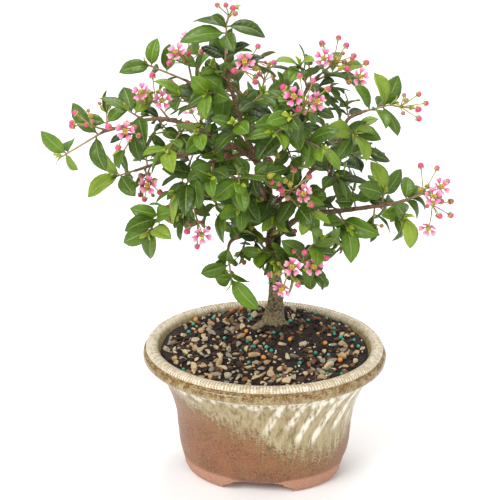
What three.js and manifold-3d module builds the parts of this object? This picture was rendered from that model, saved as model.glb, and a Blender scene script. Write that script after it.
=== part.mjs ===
// Barbados cherry bonsai: a small flowering tree in an oval glazed pot filled with potting mix.
// Millimetres, +Z up, front towards -Y. The long way of the pot runs along X.
import * as THREE from 'three';
import Module from 'manifold-3d';

const wasm = await Module();
wasm.setup();

// Driving dimensions
const POT_HEIGHT = 115;
const POT_SIDES = 32;
const FLOOR_UNDERSIDE = 8;
const FLOOR_TOP = 17;
const CUT_MARGIN = 5;
const SEAT_GAP = 0.3;
const WALL_GAP = 0.4;
const ROOT_GAP = 0.9;
const TREE_TURN = THREE.MathUtils.degToRad(6);
const CROWN_CENTRE = [-8, 22, 285];

const LEAF_LENGTH = 27;
const LEAF_WIDTH_SHARE = 0.52;
const LEAF_THICKNESS = 0.75;
const LEAF_ARCH = 0.1;
const STEM_RADIUS = 1.4;
const STEM_TIP_RADIUS = 1.1;
const BURIED_SHARE = 0.45;
const SPUR_REACH = 3.6;
const LEAF_ROOT_DEPTH = 0.35;
const LAST_PAIR = 0.94;

const PETAL_COUNT = 5;
const FLOWER_RADIUS = 7.8;
const PETAL_THICKNESS = 0.8;
const FLOWER_DISH = 1.6;
const PETAL_HALF_ANGLE = 0.38;
const CLAW_RADIUS = 1.7;
const HUB_RADIUS = 1.9;
const PEDICEL_RADIUS = 0.75;
const BUD_RADIUS = 2.7;

// Half lengths, half widths and heights of the pot's outline, from the underside up to the crest
const POT_OUTSIDE = [
  [63, 49, FLOOR_UNDERSIDE], [69.5, 55.5, 14], [73.8, 59.8, 38], [77.5, 63.5, 65], [82.5, 68.5, 78],
  [89, 75, 93], [95, 81, 99.5], [102, 88, 104], [97, 83, POT_HEIGHT],
];
// The same down the inside, from above the mouth to the floor
const POT_MOUTH = [91.5, 77.5, POT_HEIGHT + CUT_MARGIN];
const POT_INSIDE = [
  [91, 77, POT_HEIGHT - 0.5], [89, 75, 112], [80, 66, 94], [64.5, 50.5, 23], [59, 45, FLOOR_TOP],
];
const DRAIN = { radius: 7, offset: 30, sides: 8 };
// Each foot carries a piece of the wall's own oval down to the ground. Its corners stand at these angles on
// the oval, in degrees, and a row has its height, its outer and its inner half length
const FOOT_OUTER_CORNERS = [24, 37.5, 51.5, 65];
const FOOT_INNER_CORNERS = [54, 36];
const FOOT_ROWS = [[0, 66.5, 49], [6, 68.8, 48.5], [11, 69.4, 48], [16, 66, 50]];
const POT_NARROWER = 14;

// The potting mix: a low mound round the foot of the trunk, with gravel pressed into it
const SOIL_EDGE = 108.5;
const SOIL_MOUND = 12.5;
const MOUND_SPREAD = 46;
const SOIL_TOP = [86.2, 72.2];
const SOIL_RINGS = [1, 0.8, 0.5, 0.2];
const GRAVEL = { count: 7, seed: 11, spread: [84, 70], sides: 4 };
// Rings of each stone, as the height and the reach in shares of its size
const GRAVEL_RINGS = [[-0.6, 1], [0.55, 0.72]];

// Points of the tree, each [right, back, up] in its own frame, which is turned a little in the pot
const TRUNK = [
  [8, 30, 108, 9.5], [8, 30, 120, 10], [9, 30, 131, 7.6], [10, 30, 147, 6.1], [8, 28, 168, 5.2],
  [5, 25, 190, 4.4], [6, 22, 212, 3.8], [4, 20, 235, 3.4], [2, 18, 257, 2.8],
];
const ROOT_START = { back: 30, right: 8, up: 127 };
// Surface roots: compass angle in degrees, reach, height of the root's middle, thickness
const ROOTS = [
  [-142, 28, 120.3, 4.2], [-78, 19, 119, 3.6], [-20, 21, 119, 3.8], [48, 20, 118.5, 3.6],
  [128, 21, 118.5, 3.8],
];
// Along each root: share of its reach, drop below its height, share of its thickness
const ROOT_ROWS = [[0.5, 0, 1], [0.8, 2.5, 0.8], [1, 8, 0.5]];
const ROOT_TOP = [0.1, 1.1];
const HOLE_ROWS = 4;

// Limbs as [right, back, up, radius] points, each starting inside the wood that bears it
const LIMBS = {
  left_arm: [[2, 18, 253, 2.8], [-7, 10, 272, 2.5], [-26, 0, 289, 2.2], [-51, -6, 304, 1.9],
    [-83, -10, 315, 1.7], [-116, -12, 308, 1.5], [-127, -12, 305, 1.3]],
  left_mid: [[-25, 0, 288, 1.9], [-55, 12, 279, 1.7], [-85, 18, 268, 1.5], [-103, 20, 261, 1.3]],
  left_low: [[4, 22, 226, 2.5], [-20, 22, 235, 2.2], [-49, 12, 239, 1.9], [-70, -2, 241, 1.6],
    [-82, -10, 239, 1.3]],
  upper_left: [[-6, 11, 270, 2.2], [-26, 18, 297, 2], [-46, 24, 317, 1.7], [-62, 24, 335, 1.4]],
  top: [[-3, 13, 265, 2.4], [-15, 2, 296, 2.2], [-23, -6, 326, 1.9], [-30, -10, 350, 1.7],
    [-31, -10, 359, 1.5]],
  right_arm: [[2, 18, 253, 2.7], [12, 15, 271, 2.4], [20, 14, 292, 2.1], [26, 18, 311, 1.8],
    [34, 24, 329, 1.6], [42, 26, 338, 1.3]],
  front_right: [[17, 15, 283, 1.9], [19, -14, 307, 1.7], [25, -38, 328, 1.5], [28, -46, 335, 1.3]],
  right_low: [[6, 25, 196, 3], [15, 20, 207, 2.6], [28, 14, 221, 2.4], [46, 8, 228, 2.2],
    [67, 2, 233, 2], [90, -2, 238, 1.8], [104, -4, 241, 1.6], [115, -5, 245, 1.4]],
  right_rise: [[30, 13, 221, 1.9], [48, 16, 246, 1.8], [55, 18, 263, 1.7], [61, 18, 287, 1.6],
    [66, 16, 305, 1.5], [78, 10, 314, 1.3]],
  low_left: [[5, 25, 195, 2.1], [-12, 12, 206, 1.7], [-27, 0, 207, 1.5], [-30, -8, 200, 1.3]],
  low_front: [[6, 25, 190, 2.2], [14, 0, 198, 1.9], [24, -18, 200, 1.6], [29, -26, 202, 1.3]],
  low_right: [[4, 21, 228, 2.2], [14, -2, 246, 1.8], [18, -26, 260, 1.4]],
  front_mid: [[4, 21, 220, 2.2], [-2, -12, 254, 1.9], [-12, -34, 274, 1.6], [-21, -48, 287, 1.3]],
  front_left: [[-16, 4, 281, 1.9], [-34, -22, 285, 1.7], [-49, -38, 286, 1.3]],
  back_left: [[5, 22, 212, 2.5], [-10, 52, 225, 2.1], [-31, 78, 237, 1.8], [-50, 90, 250, 1.4]],
  back_right: [[6, 22, 216, 2.4], [23, 52, 225, 2.1], [39, 76, 238, 1.8], [48, 86, 252, 1.4]],
  back_top: [[3, 19, 247, 2.4], [0, 48, 266, 2.1], [-2, 72, 283, 1.8], [-5, 84, 297, 1.4]],
};

// Leafy shoots. at: place along the limb; tip: end of the stem; pairs: leaf pairs set by the rule;
// set: single leaves as [place along the stem, tip right, back, up]; seed: picked to clear the neighbours
const SHOOTS = [
  { name: 'left_end', limb: 'left_arm', at: 1, tip: [-160, -14, 285], pairs: 0, seed: 1,
    set: [[0.04, -152, 2, 324], [0.1, -125, -26, 277], [0.95, -177, -8, 304], [0.92, -153, 8, 291],
      [0.98, -147, -26, 278]] },
  { name: 'left_upper', limb: 'left_arm', at: 0.72, tip: [-106, -16, 323], pairs: 0, seed: 1,
    set: [[0.97, -129, -14, 333], [0.25, -93, -36, 301], [0.6, -92, 8, 334], [0.85, -112, 8, 335]] },
  { name: 'upper_left_end', limb: 'upper_left', at: 1, tip: [-93, 16, 351], pairs: 0, seed: 1,
    set: [[0.95, -85, 22, 371], [0.98, -115, 8, 347], [0.5, -76, 30, 364], [0.2, -84, 12, 330],
      [0.7, -90, 36, 341]] },
  { name: 'left_mid_end', limb: 'left_mid', at: 1, tip: [-119, 14, 258], pairs: 0, seed: 1,
    set: [[0.97, -143, 4, 243], [0.9, -104, -6, 248], [0.35, -117, 28, 274], [0.96, -130, 26, 272],
      [0.5, -108, 36, 248]] },
  { name: 'left_low_end', limb: 'left_low', at: 1, tip: [-92, -24, 225], pairs: 0, seed: 1,
    set: [[0.15, -108, -12, 240], [0.4, -111, -36, 230], [0.95, -114, -14, 211], [0.97, -74, -42, 226],
      [0.3, -72, -36, 246], [0.8, -92, -22, 200]] },
  { name: 'low_twig', limb: 'low_left', at: 1, tip: [-27, -16, 178], pairs: 0, seed: 1,
    set: [[0.35, -52, -8, 181], [0.93, -40, -34, 189], [0.97, -5, -28, 158], [0.2, -29, -34, 214],
      [0.6, -12, 0, 170]] },
  { name: 'top_end', limb: 'top', at: 1, tip: [-30, -12, 393], pairs: 0, seed: 1,
    set: [[0.06, -50, -6, 372], [0.12, -12, -14, 376], [0.78, -66, -14, 378], [0.93, -56, 2, 390],
      [0.97, 0, -4, 379], [0.75, -24, -36, 377], [0.95, -41, -20, 401]] },
  { name: 'right_up_end', limb: 'right_rise', at: 1, tip: [99, 6, 321], pairs: 0, seed: 1,
    set: [[0.82, 86, 14, 345], [0.72, 106, 20, 341], [0.72, 104, -14, 302], [0.1, 70, 12, 337],
      [0.2, 94, -20, 310], [0.45, 98, 30, 315]] },
  { name: 'right_up_mid', limb: 'right_rise', at: 0.74, tip: [70, -8, 301], pairs: 0, seed: 1,
    set: [[0.8, 45, -18, 308], [0.93, 55, -20, 284], [0.3, 90, 6, 296], [0.97, 79, -28, 286],
      [0.7, 88, -14, 302]] },
  { name: 'right_low_hang', limb: 'right_low', at: 0.52, tip: [66, -14, 224], pairs: 0, seed: 1,
    set: [[0.9, 69, -28, 199], [0.97, 54, -14, 200], [0.3, 92, -22, 221], [0.6, 46, -30, 232]] },
  { name: 'right_low_up', limb: 'right_low', at: 0.76, tip: [95, -9, 252], pairs: 0, seed: 1,
    set: [[0.95, 84, -4, 277], [0.9, 73, -26, 264], [0.7, 110, 8, 266], [0.3, 84, 16, 258]] },
  { name: 'right_low_end', limb: 'right_low', at: 0.88, tip: [112, -20, 236], pairs: 0, seed: 1,
    set: [[0.5, 101, -32, 220], [0.9, 102, -36, 254], [0.95, 115, -38, 216], [0.35, 92, -28, 240]] },
  { name: 'upper_left_back', limb: 'upper_left', at: 0.8, tip: [-54, 42, 352], pairs: 3, seed: 27 },
  { name: 'top_front_left', limb: 'top', at: 0.62, tip: [-44, -40, 345], pairs: 3, seed: 3 },
  { name: 'upper_left_front', limb: 'upper_left', at: 0.5, tip: [-66, -18, 336], pairs: 3, seed: 14 },
  { name: 'top_right_side', limb: 'top', at: 0.75, tip: [-7, 12, 354], pairs: 3, seed: 17 },
  { name: 'top_front', limb: 'top', at: 0.42, tip: [-3, -44, 346], pairs: 3, seed: 17 },
  { name: 'right_crest', limb: 'right_arm', at: 0.8, tip: [27, 6, 354], pairs: 3, seed: 29 },
  { name: 'right_shoulder', limb: 'right_arm', at: 0.92, tip: [62, 34, 342], pairs: 3, seed: 25 },
  { name: 'front_high', limb: 'front_right', at: 0.5, tip: [6, -60, 320], pairs: 3, seed: 53 },
  { name: 'front_high_left', limb: 'top', at: 0.22, tip: [-24, -56, 326], pairs: 3, seed: 25 },
  { name: 'front_left_high', limb: 'left_arm', at: 0.42, tip: [-52, -54, 318], pairs: 3, seed: 14 },
  { name: 'left_front', limb: 'left_arm', at: 0.56, tip: [-76, -44, 300], pairs: 3, seed: 25 },
  { name: 'front_left_low', limb: 'front_left', at: 0.7, tip: [-42, -74, 290], pairs: 3, seed: 56 },
  { name: 'front_right_mid', limb: 'front_right', at: 0.3, tip: [42, -48, 304], pairs: 3, seed: 28 },
  { name: 'left_front_low', limb: 'front_left', at: 0.97, tip: [-68, -50, 268], pairs: 3, seed: 27 },
  { name: 'front_mid_end', limb: 'front_mid', at: 1, tip: [-20, -76, 284], pairs: 3, seed: 38 },
  { name: 'front_mid_low', limb: 'front_mid', at: 0.5, tip: [-20, -44, 254], pairs: 3, seed: 17 },
  { name: 'front_right_low', limb: 'low_right', at: 0.8, tip: [32, -40, 246], pairs: 3, seed: 33 },
  { name: 'right_inner', limb: 'right_rise', at: 0.3, tip: [58, -10, 266], pairs: 3, seed: 27 },
  { name: 'inner_left_low', limb: 'left_low', at: 0.45, tip: [-30, -16, 236], pairs: 3, seed: 36 },
  { name: 'low_front_end', limb: 'low_front', at: 0.9, tip: [42, -42, 226], pairs: 3, seed: 7 },
  { name: 'back_left_high', limb: 'upper_left', at: 0.55, tip: [-60, 66, 312], pairs: 3, seed: 25 },
  { name: 'back_top_left', limb: 'back_top', at: 0.75, tip: [-30, 90, 318], pairs: 3, seed: 20 },
  { name: 'back_top_right', limb: 'back_top', at: 0.95, tip: [16, 102, 304], pairs: 3, seed: 3 },
  { name: 'back_right_high', limb: 'right_arm', at: 0.65, tip: [52, 66, 312], pairs: 3, seed: 25 },
  { name: 'back_right_end', limb: 'back_right', at: 1, tip: [66, 84, 270], pairs: 3, seed: 25 },
  { name: 'back_left_end', limb: 'back_left', at: 1, tip: [-72, 94, 262], pairs: 3, seed: 19 },
  { name: 'back_left_low', limb: 'back_left', at: 0.7, tip: [-28, 112, 240], pairs: 3, seed: 25 },
  { name: 'back_right_low', limb: 'back_right', at: 0.7, tip: [30, 110, 236], pairs: 3, seed: 22 },
  { name: 'back_right_side', limb: 'right_rise', at: 0.4, tip: [74, 58, 256], pairs: 3, seed: 22 },
];

// Flower clusters. Each umbel has its hub, its open flowers and its round buds
const CLUSTERS = [
  { name: 'left_tip', limb: 'left_arm', at: 0.96, seed: 1, umbels: [
    { hub: [-136, -18, 312], flowers: [], buds: [[-148, -20, 323], [-150, -26, 317], [-151, -16, 311]] }] },
  { name: 'left_arm', limb: 'left_arm', at: 0.8, seed: 25, umbels: [
    { hub: [-108, -26, 312], flowers: [[-108, -40, 315]], buds: [[-121, -38, 318], [-114, -38, 301]] }] },
  { name: 'left_high', limb: 'left_arm', at: 0.62, seed: 3, umbels: [
    { hub: [-86, -6, 327], flowers: [[-96, -14, 338], [-80, -22, 334]],
      buds: [[-88, -6, 349], [-74, -4, 343]] }] },
  { name: 'upper_left', limb: 'upper_left', at: 0.9, seed: 13, umbels: [
    { hub: [-61, 18, 352], flowers: [[-60, 18, 371], [-69, 8, 363]],
      buds: [[-50, 12, 363], [-75, 4, 356]] }] },
  { name: 'left_mid', limb: 'left_mid', at: 0.9, seed: 1, umbels: [
    { hub: [-94, 4, 257], flowers: [[-93, -12, 260]], buds: [[-84, -8, 252], [-97, -2, 244]] }] },
  { name: 'left_low', limb: 'left_low', at: 0.62, seed: 5, umbels: [
    { hub: [-54, -20, 232], flowers: [[-50, -36, 227]], buds: [[-62, -34, 229], [-54, -34, 216]] }] },
  { name: 'front_pair', limb: 'front_right', at: 1, seed: 3, umbels: [
    { hub: [29, -60, 343], flowers: [[21, -74, 354], [37, -74, 350]],
      buds: [[13, -62, 357], [25, -62, 366], [46, -62, 356], [35, -58, 361]] }] },
  { name: 'right_crest', limb: 'right_arm', at: 1, seed: 4, umbels: [
    { hub: [54, 22, 350], flowers: [[46, 10, 358]],
      buds: [[58, 26, 370], [64, 22, 365], [70, 20, 357], [45, 24, 366]] },
    { hub: [66, 14, 346], flowers: [[74, 4, 345]], buds: [[80, 18, 352], [64, 2, 352]] }] },
  { name: 'top_mid', limb: 'top', at: 0.82, seed: 2, umbels: [
    { hub: [-17, -22, 358], flowers: [[-16, -34, 368]],
      buds: [[-6, -18, 376], [-8, -32, 352], [-24, -36, 362]] }] },
  { name: 'top_tip', shoot: 'top_end', seed: 1, umbels: [
    { hub: [-28, -14, 399], flowers: [], buds: [[-25, -17, 406]] }] },
  { name: 'right_up_tip', shoot: 'right_up_end', seed: 1, umbels: [
    { hub: [107, 4, 320], flowers: [],
      buds: [[122, 12, 328], [127, 4, 323], [120, -8, 322], [121, -4, 313]] }] },
  { name: 'right_tip', limb: 'right_low', at: 1, seed: 1, umbels: [
    { hub: [127, -8, 251], flowers: [[140, -12, 258], [132, -26, 256]],
      buds: [[124, -6, 274], [138, 2, 269], [147, 6, 256]] },
    { hub: [134, -12, 243], flowers: [[130, -26, 229]],
      buds: [[150, -2, 242], [149, -12, 234], [139, -24, 238]] }] },
  { name: 'low_right', limb: 'low_right', at: 1, seed: 4, umbels: [
    { hub: [20, -42, 267], flowers: [[28, -56, 270]],
      buds: [[22, -42, 284], [12, -56, 273], [34, -44, 279], [35, -54, 260]] }] },
  { name: 'low_front', limb: 'low_front', at: 1, seed: 1, umbels: [
    { hub: [30, -40, 206], flowers: [[38, -53, 207], [22, -55, 208]],
      buds: [[48, -48, 212], [31, -50, 218]] },
    { hub: [18, -42, 197], flowers: [[14, -52, 188]], buds: [[4, -44, 196], [26, -50, 190]] }] },
  { name: 'back_left', limb: 'back_left', at: 0.9, seed: 5, umbels: [
    { hub: [-52, 98, 268], flowers: [[-50, 112, 276], [-62, 100, 284]],
      buds: [[-40, 104, 280], [-66, 112, 270]] }] },
  { name: 'back_right', limb: 'back_top', at: 1, seed: 2, umbels: [
    { hub: [0, 92, 314], flowers: [[4, 106, 322], [-8, 96, 328]], buds: [[8, 90, 330], [-4, 110, 314]] }] },
];

// Repeatable draws between 0 and 1 from a small whole-number seed
class Draw {
  constructor(seed) {
    this.state = seed * 7919 + 17;
    this.next();
  }

  next() {
    this.state = (1664525 * this.state + 1013904223) % 4294967296;
    return this.state / 4294967296;
  }

  between(low, high) {
    return low + (high - low) * this.next();
  }
}

// A point or direction of the tree's own frame, in the pot's frame
function inTree([right, back, up]) {
  return new THREE.Vector3(
    right * Math.cos(TREE_TURN) - back * Math.sin(TREE_TURN),
    right * Math.sin(TREE_TURN) + back * Math.cos(TREE_TURN),
    up,
  );
}

// A closed solid from its corners and its triangles, which face out
function solidOf(corners, triangles) {
  const vertProperties = new Float32Array(corners.flatMap((p) => [p.x, p.y, p.z]));
  const triVerts = new Uint32Array(triangles.flat());
  return new wasm.Manifold(new wasm.Mesh({ numProp: 3, vertProperties, triVerts }));
}

// Rings of equal count joined one to the next and closed by a flat face at each end
function loft(rings) {
  const sides = rings[0].length;
  const triangles = [];
  for (let k = 0; k < rings.length - 1; k += 1) {
    for (let i = 0; i < sides; i += 1) {
      const here = k * sides + i;
      const beside = k * sides + ((i + 1) % sides);
      triangles.push([here, beside, beside + sides], [here, beside + sides, here + sides]);
    }
  }
  const last = (rings.length - 1) * sides;
  for (let i = 1; i < sides - 1; i += 1) {
    triangles.push([0, i + 1, i], [last, last + i, last + i + 1]);
  }
  return solidOf(rings.flat(), triangles);
}

// Any direction square to the given one
function squareTo(direction) {
  const aside = Math.abs(direction.z) < 0.9 ? new THREE.Vector3(0, 0, 1) : new THREE.Vector3(1, 0, 0);
  return new THREE.Vector3().crossVectors(aside, direction).normalize();
}

// A round ring of points about a centre, square to a direction
function ringAround(centre, direction, side, radius, sides, spin = 0) {
  const up = new THREE.Vector3().crossVectors(direction, side);
  return Array.from({ length: sides }, (_, i) => {
    const angle = spin + (2 * Math.PI * i) / sides;
    return centre.clone()
      .addScaledVector(side, radius * Math.cos(angle))
      .addScaledVector(up, radius * Math.sin(angle));
  });
}

// A tapering tube along a list of points, with its rings kept from twisting
function tube(points, radii, sides) {
  let side = null;
  const rings = points.map((point, k) => {
    const before = points[Math.max(k - 1, 0)];
    const after = points[Math.min(k + 1, points.length - 1)];
    const direction = after.clone().sub(before).normalize();
    side = side ?? squareTo(direction);
    side = side.clone().addScaledVector(direction, -side.dot(direction)).normalize();
    return ringAround(point, direction, side, radii[k], sides);
  });
  return loft(rings);
}

// A thin slab: a rim of points, the triangles between them, and the same again below
function slab(rim, faces, drop) {
  const count = rim.length;
  const triangles = [];
  for (const [a, b, c] of faces) {
    triangles.push([a, b, c], [a + count, c + count, b + count]);
  }
  for (let i = 0; i < count; i += 1) {
    const next = (i + 1) % count;
    triangles.push([i + count, next + count, next], [i + count, next, i]);
  }
  return solidOf([...rim, ...rim.map((p) => p.clone().add(drop))], triangles);
}

function joined(solids) {
  return wasm.Manifold.union(solids);
}

// The main body of a cut solid, without any loose crumb that the cut leaves
function largest(solid) {
  return solid.decompose().sort((a, b) => b.volume() - a.volume())[0];
}

// The oval pot
function ovalRing([halfLength, halfWidth, height], sides = POT_SIDES) {
  return Array.from({ length: sides }, (_, i) => {
    const angle = (2 * Math.PI * (i + 0.5)) / sides;
    return new THREE.Vector3(halfLength * Math.cos(angle), halfWidth * Math.sin(angle), height);
  });
}

function footSolid(signX, signY) {
  const corner = (degrees, halfLength, height) => {
    const angle = THREE.MathUtils.degToRad(degrees);
    const halfWidth = halfLength - POT_NARROWER;
    return new THREE.Vector3(
      signX * halfLength * Math.cos(angle),
      signY * halfWidth * Math.sin(angle),
      height,
    );
  };
  const rings = FOOT_ROWS.map(([height, outer, inner]) => {
    const ring = [
      ...FOOT_OUTER_CORNERS.map((degrees) => corner(degrees, outer, height)),
      ...FOOT_INNER_CORNERS.map((degrees) => corner(degrees, inner, height)),
    ];
    return signX * signY > 0 ? ring : ring.reverse();
  });
  return loft(rings);
}

function potSolid() {
  const body = loft(POT_OUTSIDE.map((row) => ovalRing(row)));
  const hollow = loft([...POT_INSIDE.map((row) => ovalRing(row)).reverse(), ovalRing(POT_MOUTH)]);
  const drainEnds = [FLOOR_UNDERSIDE - CUT_MARGIN, FLOOR_TOP + CUT_MARGIN];
  const drains = [-1, 1].map((side) => loft(drainEnds.map((height) => (
    ringAround(
      new THREE.Vector3(side * DRAIN.offset, 0, height),
      new THREE.Vector3(0, 0, 1), new THREE.Vector3(1, 0, 0), DRAIN.radius, DRAIN.sides,
    )))));
  const feet = [[1, 1], [1, -1], [-1, 1], [-1, -1]].map(([x, y]) => footSolid(x, y));
  return joined([body, ...feet]).subtract(joined([hollow, ...drains]));
}

// The potting mix
function soilHeight(x, y) {
  const foot = inTree([ROOT_START.right, ROOT_START.back, 0]);
  const away = Math.hypot(x - foot.x, y - foot.y) / MOUND_SPREAD;
  const ripple = 0.7 * Math.sin(x * 0.11 + 1) * Math.cos(y * 0.13);
  return SOIL_EDGE + SOIL_MOUND * Math.exp(-away * away) + ripple;
}

function gravelSolid(draw) {
  const angle = draw.between(0, 2 * Math.PI);
  const out = Math.sqrt(draw.between(0.05, 0.78));
  const x = GRAVEL.spread[0] * out * Math.cos(angle);
  const y = GRAVEL.spread[1] * out * Math.sin(angle);
  const size = draw.between(3.2, 5.6);
  const centre = new THREE.Vector3(x, y, soilHeight(x, y) + size * 0.15);
  const rings = GRAVEL_RINGS.map(([level, wide]) => Array.from({ length: GRAVEL.sides }, (_, i) => {
    const turn = angle + (i * 2 * Math.PI) / GRAVEL.sides + draw.between(-0.3, 0.3);
    const reach = size * draw.between(0.75, 1.1) * wide;
    return centre.clone().add(new THREE.Vector3(
      reach * Math.cos(turn), reach * Math.sin(turn), size * (level + draw.between(-0.12, 0.12)),
    ));
  }));
  return loft(rings);
}

function soilSolid(rootHole) {
  const walls = POT_INSIDE.slice(2).reverse().map(([halfLength, halfWidth, height]) => (
    ovalRing([halfLength - WALL_GAP, halfWidth - WALL_GAP, height + WALL_GAP])
  ));
  const foot = inTree([ROOT_START.right, ROOT_START.back, 0]);
  const tops = SOIL_RINGS.map((share) => ovalRing([SOIL_TOP[0] * share, SOIL_TOP[1] * share, 0]).map((p) => {
    const x = p.x + foot.x * (1 - share);
    const y = p.y + foot.y * (1 - share);
    return new THREE.Vector3(x, y, soilHeight(x, y));
  }));
  const draw = new Draw(GRAVEL.seed);
  const gravel = Array.from({ length: GRAVEL.count }, () => gravelSolid(draw));
  return largest(joined([loft([...walls, ...tops]), ...gravel]).subtract(rootHole));
}

// The wood
function limbPoint(name, at) {
  const points = LIMBS[name];
  const place = at * (points.length - 1);
  const first = Math.min(Math.floor(place), points.length - 2);
  const share = place - first;
  const mixed = points[first].map((value, i) => value + (points[first + 1][i] - value) * share);
  return { point: inTree(mixed), radius: mixed[3] };
}

// A side growth leaves the limb's axis and runs straight to its tip: first a spur of wood, then green
function spurOf(limb, at, tip) {
  const { point, radius } = limbPoint(limb, at);
  const line = new THREE.LineCurve3(point, tip);
  const reach = at === 1 ? SPUR_REACH : SPUR_REACH + radius;
  const share = reach / line.getLength();
  return { line, share, end: line.getPoint(share), along: line.getTangent(share).normalize() };
}

function spurSolid(limb, at, tip) {
  const { line, end, along } = spurOf(limb, at, tip);
  const side = squareTo(along);
  const start = line.getPoint(0);
  return loft([
    ringAround(start, along, side, STEM_RADIUS * BURIED_SHARE, 3),
    ringAround(end, along, side, STEM_RADIUS * 1.05, 3),
  ]);
}

function rootsSolid(grow) {
  return joined(ROOTS.map(([compass, reach, height, thickness]) => {
    const angle = THREE.MathUtils.degToRad(compass);
    const spot = (run, up) => inTree([
      ROOT_START.right + Math.cos(angle) * run, ROOT_START.back + Math.sin(angle) * run, up,
    ]);
    const lower = ROOT_ROWS.map(([share, drop]) => {
      const end = share === 1 ? grow : 0;
      return spot(reach * share + end, height - drop - end);
    });
    const radii = [ROOT_TOP[1], ...ROOT_ROWS.map((row) => row[2])].map((share) => thickness * share + grow);
    return tube([spot(reach * ROOT_TOP[0], ROOT_START.up), ...lower], radii, 4);
  }));
}

// The hole in the mix that the foot of the trunk and its roots stand in
function rootHoleSolid() {
  const foot = TRUNK.slice(0, HOLE_ROWS);
  const collar = tube(
    foot.map(([right, back, up], k) => inTree([right, back, up - (k === 0 ? WALL_GAP : 0)])),
    foot.map((row) => row[3] + WALL_GAP),
    8,
  );
  return joined([collar, rootsSolid(ROOT_GAP)]);
}

function trunkSolid() {
  const points = TRUNK.map(([right, back, up]) => inTree([right, back, up]));
  return tube(points, TRUNK.map((row) => row[3]), 8);
}

function woodSolid() {
  const limbs = Object.values(LIMBS).map((points) => (
    tube(
      points.map((row) => inTree(row)),
      points.map((row, k) => row[3] * (k === 0 ? BURIED_SHARE : 1)),
      4,
    )
  ));
  const shootSpurs = SHOOTS.map((row) => spurSolid(row.limb, row.at, inTree(row.tip)));
  const clusterSpurs = CLUSTERS.filter((row) => row.limb).map((row) => (
    spurSolid(row.limb, row.at, inTree(row.umbels[0].hub))
  ));
  return joined([trunkSolid(), rootsSolid(0), ...limbs, ...shootSpurs, ...clusterSpurs]);
}

// One leaf: where it leaves the stem, its tip, the way its upper face looks, and its width
function facing(base, direction) {
  const outward = base.clone().sub(inTree(CROWN_CENTRE)).normalize();
  const steep = Math.abs(direction.z);
  return new THREE.Vector3(0, 0, 1 - 0.6 * steep).addScaledVector(outward, 0.35 + 0.8 * steep);
}

function leafFrame(base, tip, face) {
  const along = tip.clone().sub(base);
  const length = along.length();
  along.normalize();
  const above = face.clone().addScaledVector(along, -face.dot(along)).normalize();
  const across = new THREE.Vector3().crossVectors(above, along);
  return { along, above, across, length };
}

// The blade: a leaf-shaped plate, arched over two bends that cross it
function leafSolid({ base, tip, face, width }) {
  const { along, above, across, length } = leafFrame(base, tip, face);
  const spot = (share, side, rise) => base.clone()
    .addScaledVector(along, length * share)
    .addScaledVector(across, width * 0.5 * side)
    .addScaledVector(above, length * rise + LEAF_THICKNESS / 2);
  const rim = [
    spot(0, 0, 0), spot(0.3, -0.86, LEAF_ARCH), spot(0.68, -0.94, LEAF_ARCH),
    spot(1, 0, 0), spot(0.68, 0.94, LEAF_ARCH), spot(0.3, 0.86, LEAF_ARCH),
  ];
  const faces = [[0, 1, 5], [1, 2, 5], [2, 4, 5], [2, 3, 4]];
  return slab(rim, faces, above.clone().multiplyScalar(-LEAF_THICKNESS));
}

// Opposite pairs, each pair a quarter turn on from the last, spreading and drooping a little
function ruleLeaves(row, line, share) {
  const draw = new Draw(row.seed);
  const firstRoll = draw.between(0, Math.PI);
  const leaves = [];
  for (let pair = 0; pair < row.pairs; pair += 1) {
    const place = share + (LAST_PAIR - share) * ((pair + 0.55) / (row.pairs - 0.45));
    const along = line.getTangent(place).normalize();
    const level = squareTo(along);
    const above = new THREE.Vector3().crossVectors(along, level);
    for (const side of [-1, 1]) {
      const roll = firstRoll + (pair * Math.PI) / 2 + draw.between(-0.3, 0.3);
      const spread = draw.between(0.75, 1.2) - 0.15 * pair;
      const way = along.clone().multiplyScalar(Math.cos(spread))
        .addScaledVector(level, side * Math.cos(roll) * Math.sin(spread))
        .addScaledVector(above, side * Math.sin(roll) * Math.sin(spread) * 0.7);
      way.z -= draw.between(0, 0.4);
      way.normalize();
      const length = LEAF_LENGTH * draw.between(0.82, 1.14) * (pair === row.pairs - 1 ? 0.86 : 1);
      const base = line.getPoint(place).addScaledVector(way, LEAF_ROOT_DEPTH);
      const face = facing(base, way);
      face.x += draw.between(-0.3, 0.3);
      face.y += draw.between(-0.45, 0.15);
      leaves.push({
        base, tip: base.clone().addScaledVector(way, length), face,
        width: length * LEAF_WIDTH_SHARE * draw.between(0.9, 1.1),
      });
    }
  }
  return leaves;
}

// Leaves placed one by one, whose upper faces look up and to the front
function setLeaves(row, line, share) {
  return (row.set ?? []).map(([place, ...tipPoint]) => {
    const tip = inTree(tipPoint);
    const axis = line.getPoint(share + (LAST_PAIR - share) * place);
    const way = tip.clone().sub(axis).normalize();
    const base = axis.clone().addScaledVector(way, LEAF_ROOT_DEPTH);
    const face = facing(base, way).add(inTree([0, -0.5, 0]));
    const length = base.distanceTo(tip);
    return { base, tip, face, width: Math.min(length * LEAF_WIDTH_SHARE, 15) };
  });
}

function shootLeaves(row) {
  const { line, share } = spurOf(row.limb, row.at, inTree(row.tip));
  return [...setLeaves(row, line, share), ...ruleLeaves(row, line, share)];
}

function shootStem(row) {
  const { line, end, along } = spurOf(row.limb, row.at, inTree(row.tip));
  const side = squareTo(along);
  return loft([
    ringAround(end.clone().addScaledVector(along, SEAT_GAP), along, side, STEM_RADIUS, 3),
    ringAround(line.getPoint(1), along, side, STEM_TIP_RADIUS, 3),
  ]);
}

function shootSolid(row) {
  return joined([shootStem(row), ...shootLeaves(row).map(leafSolid)]);
}

// Where a pedicel starts: a little way out from the middle of its hub
function pedicelStart(hub, end) {
  return hub.clone().addScaledVector(end.clone().sub(hub).normalize(), HUB_RADIUS * 0.5);
}

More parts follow.
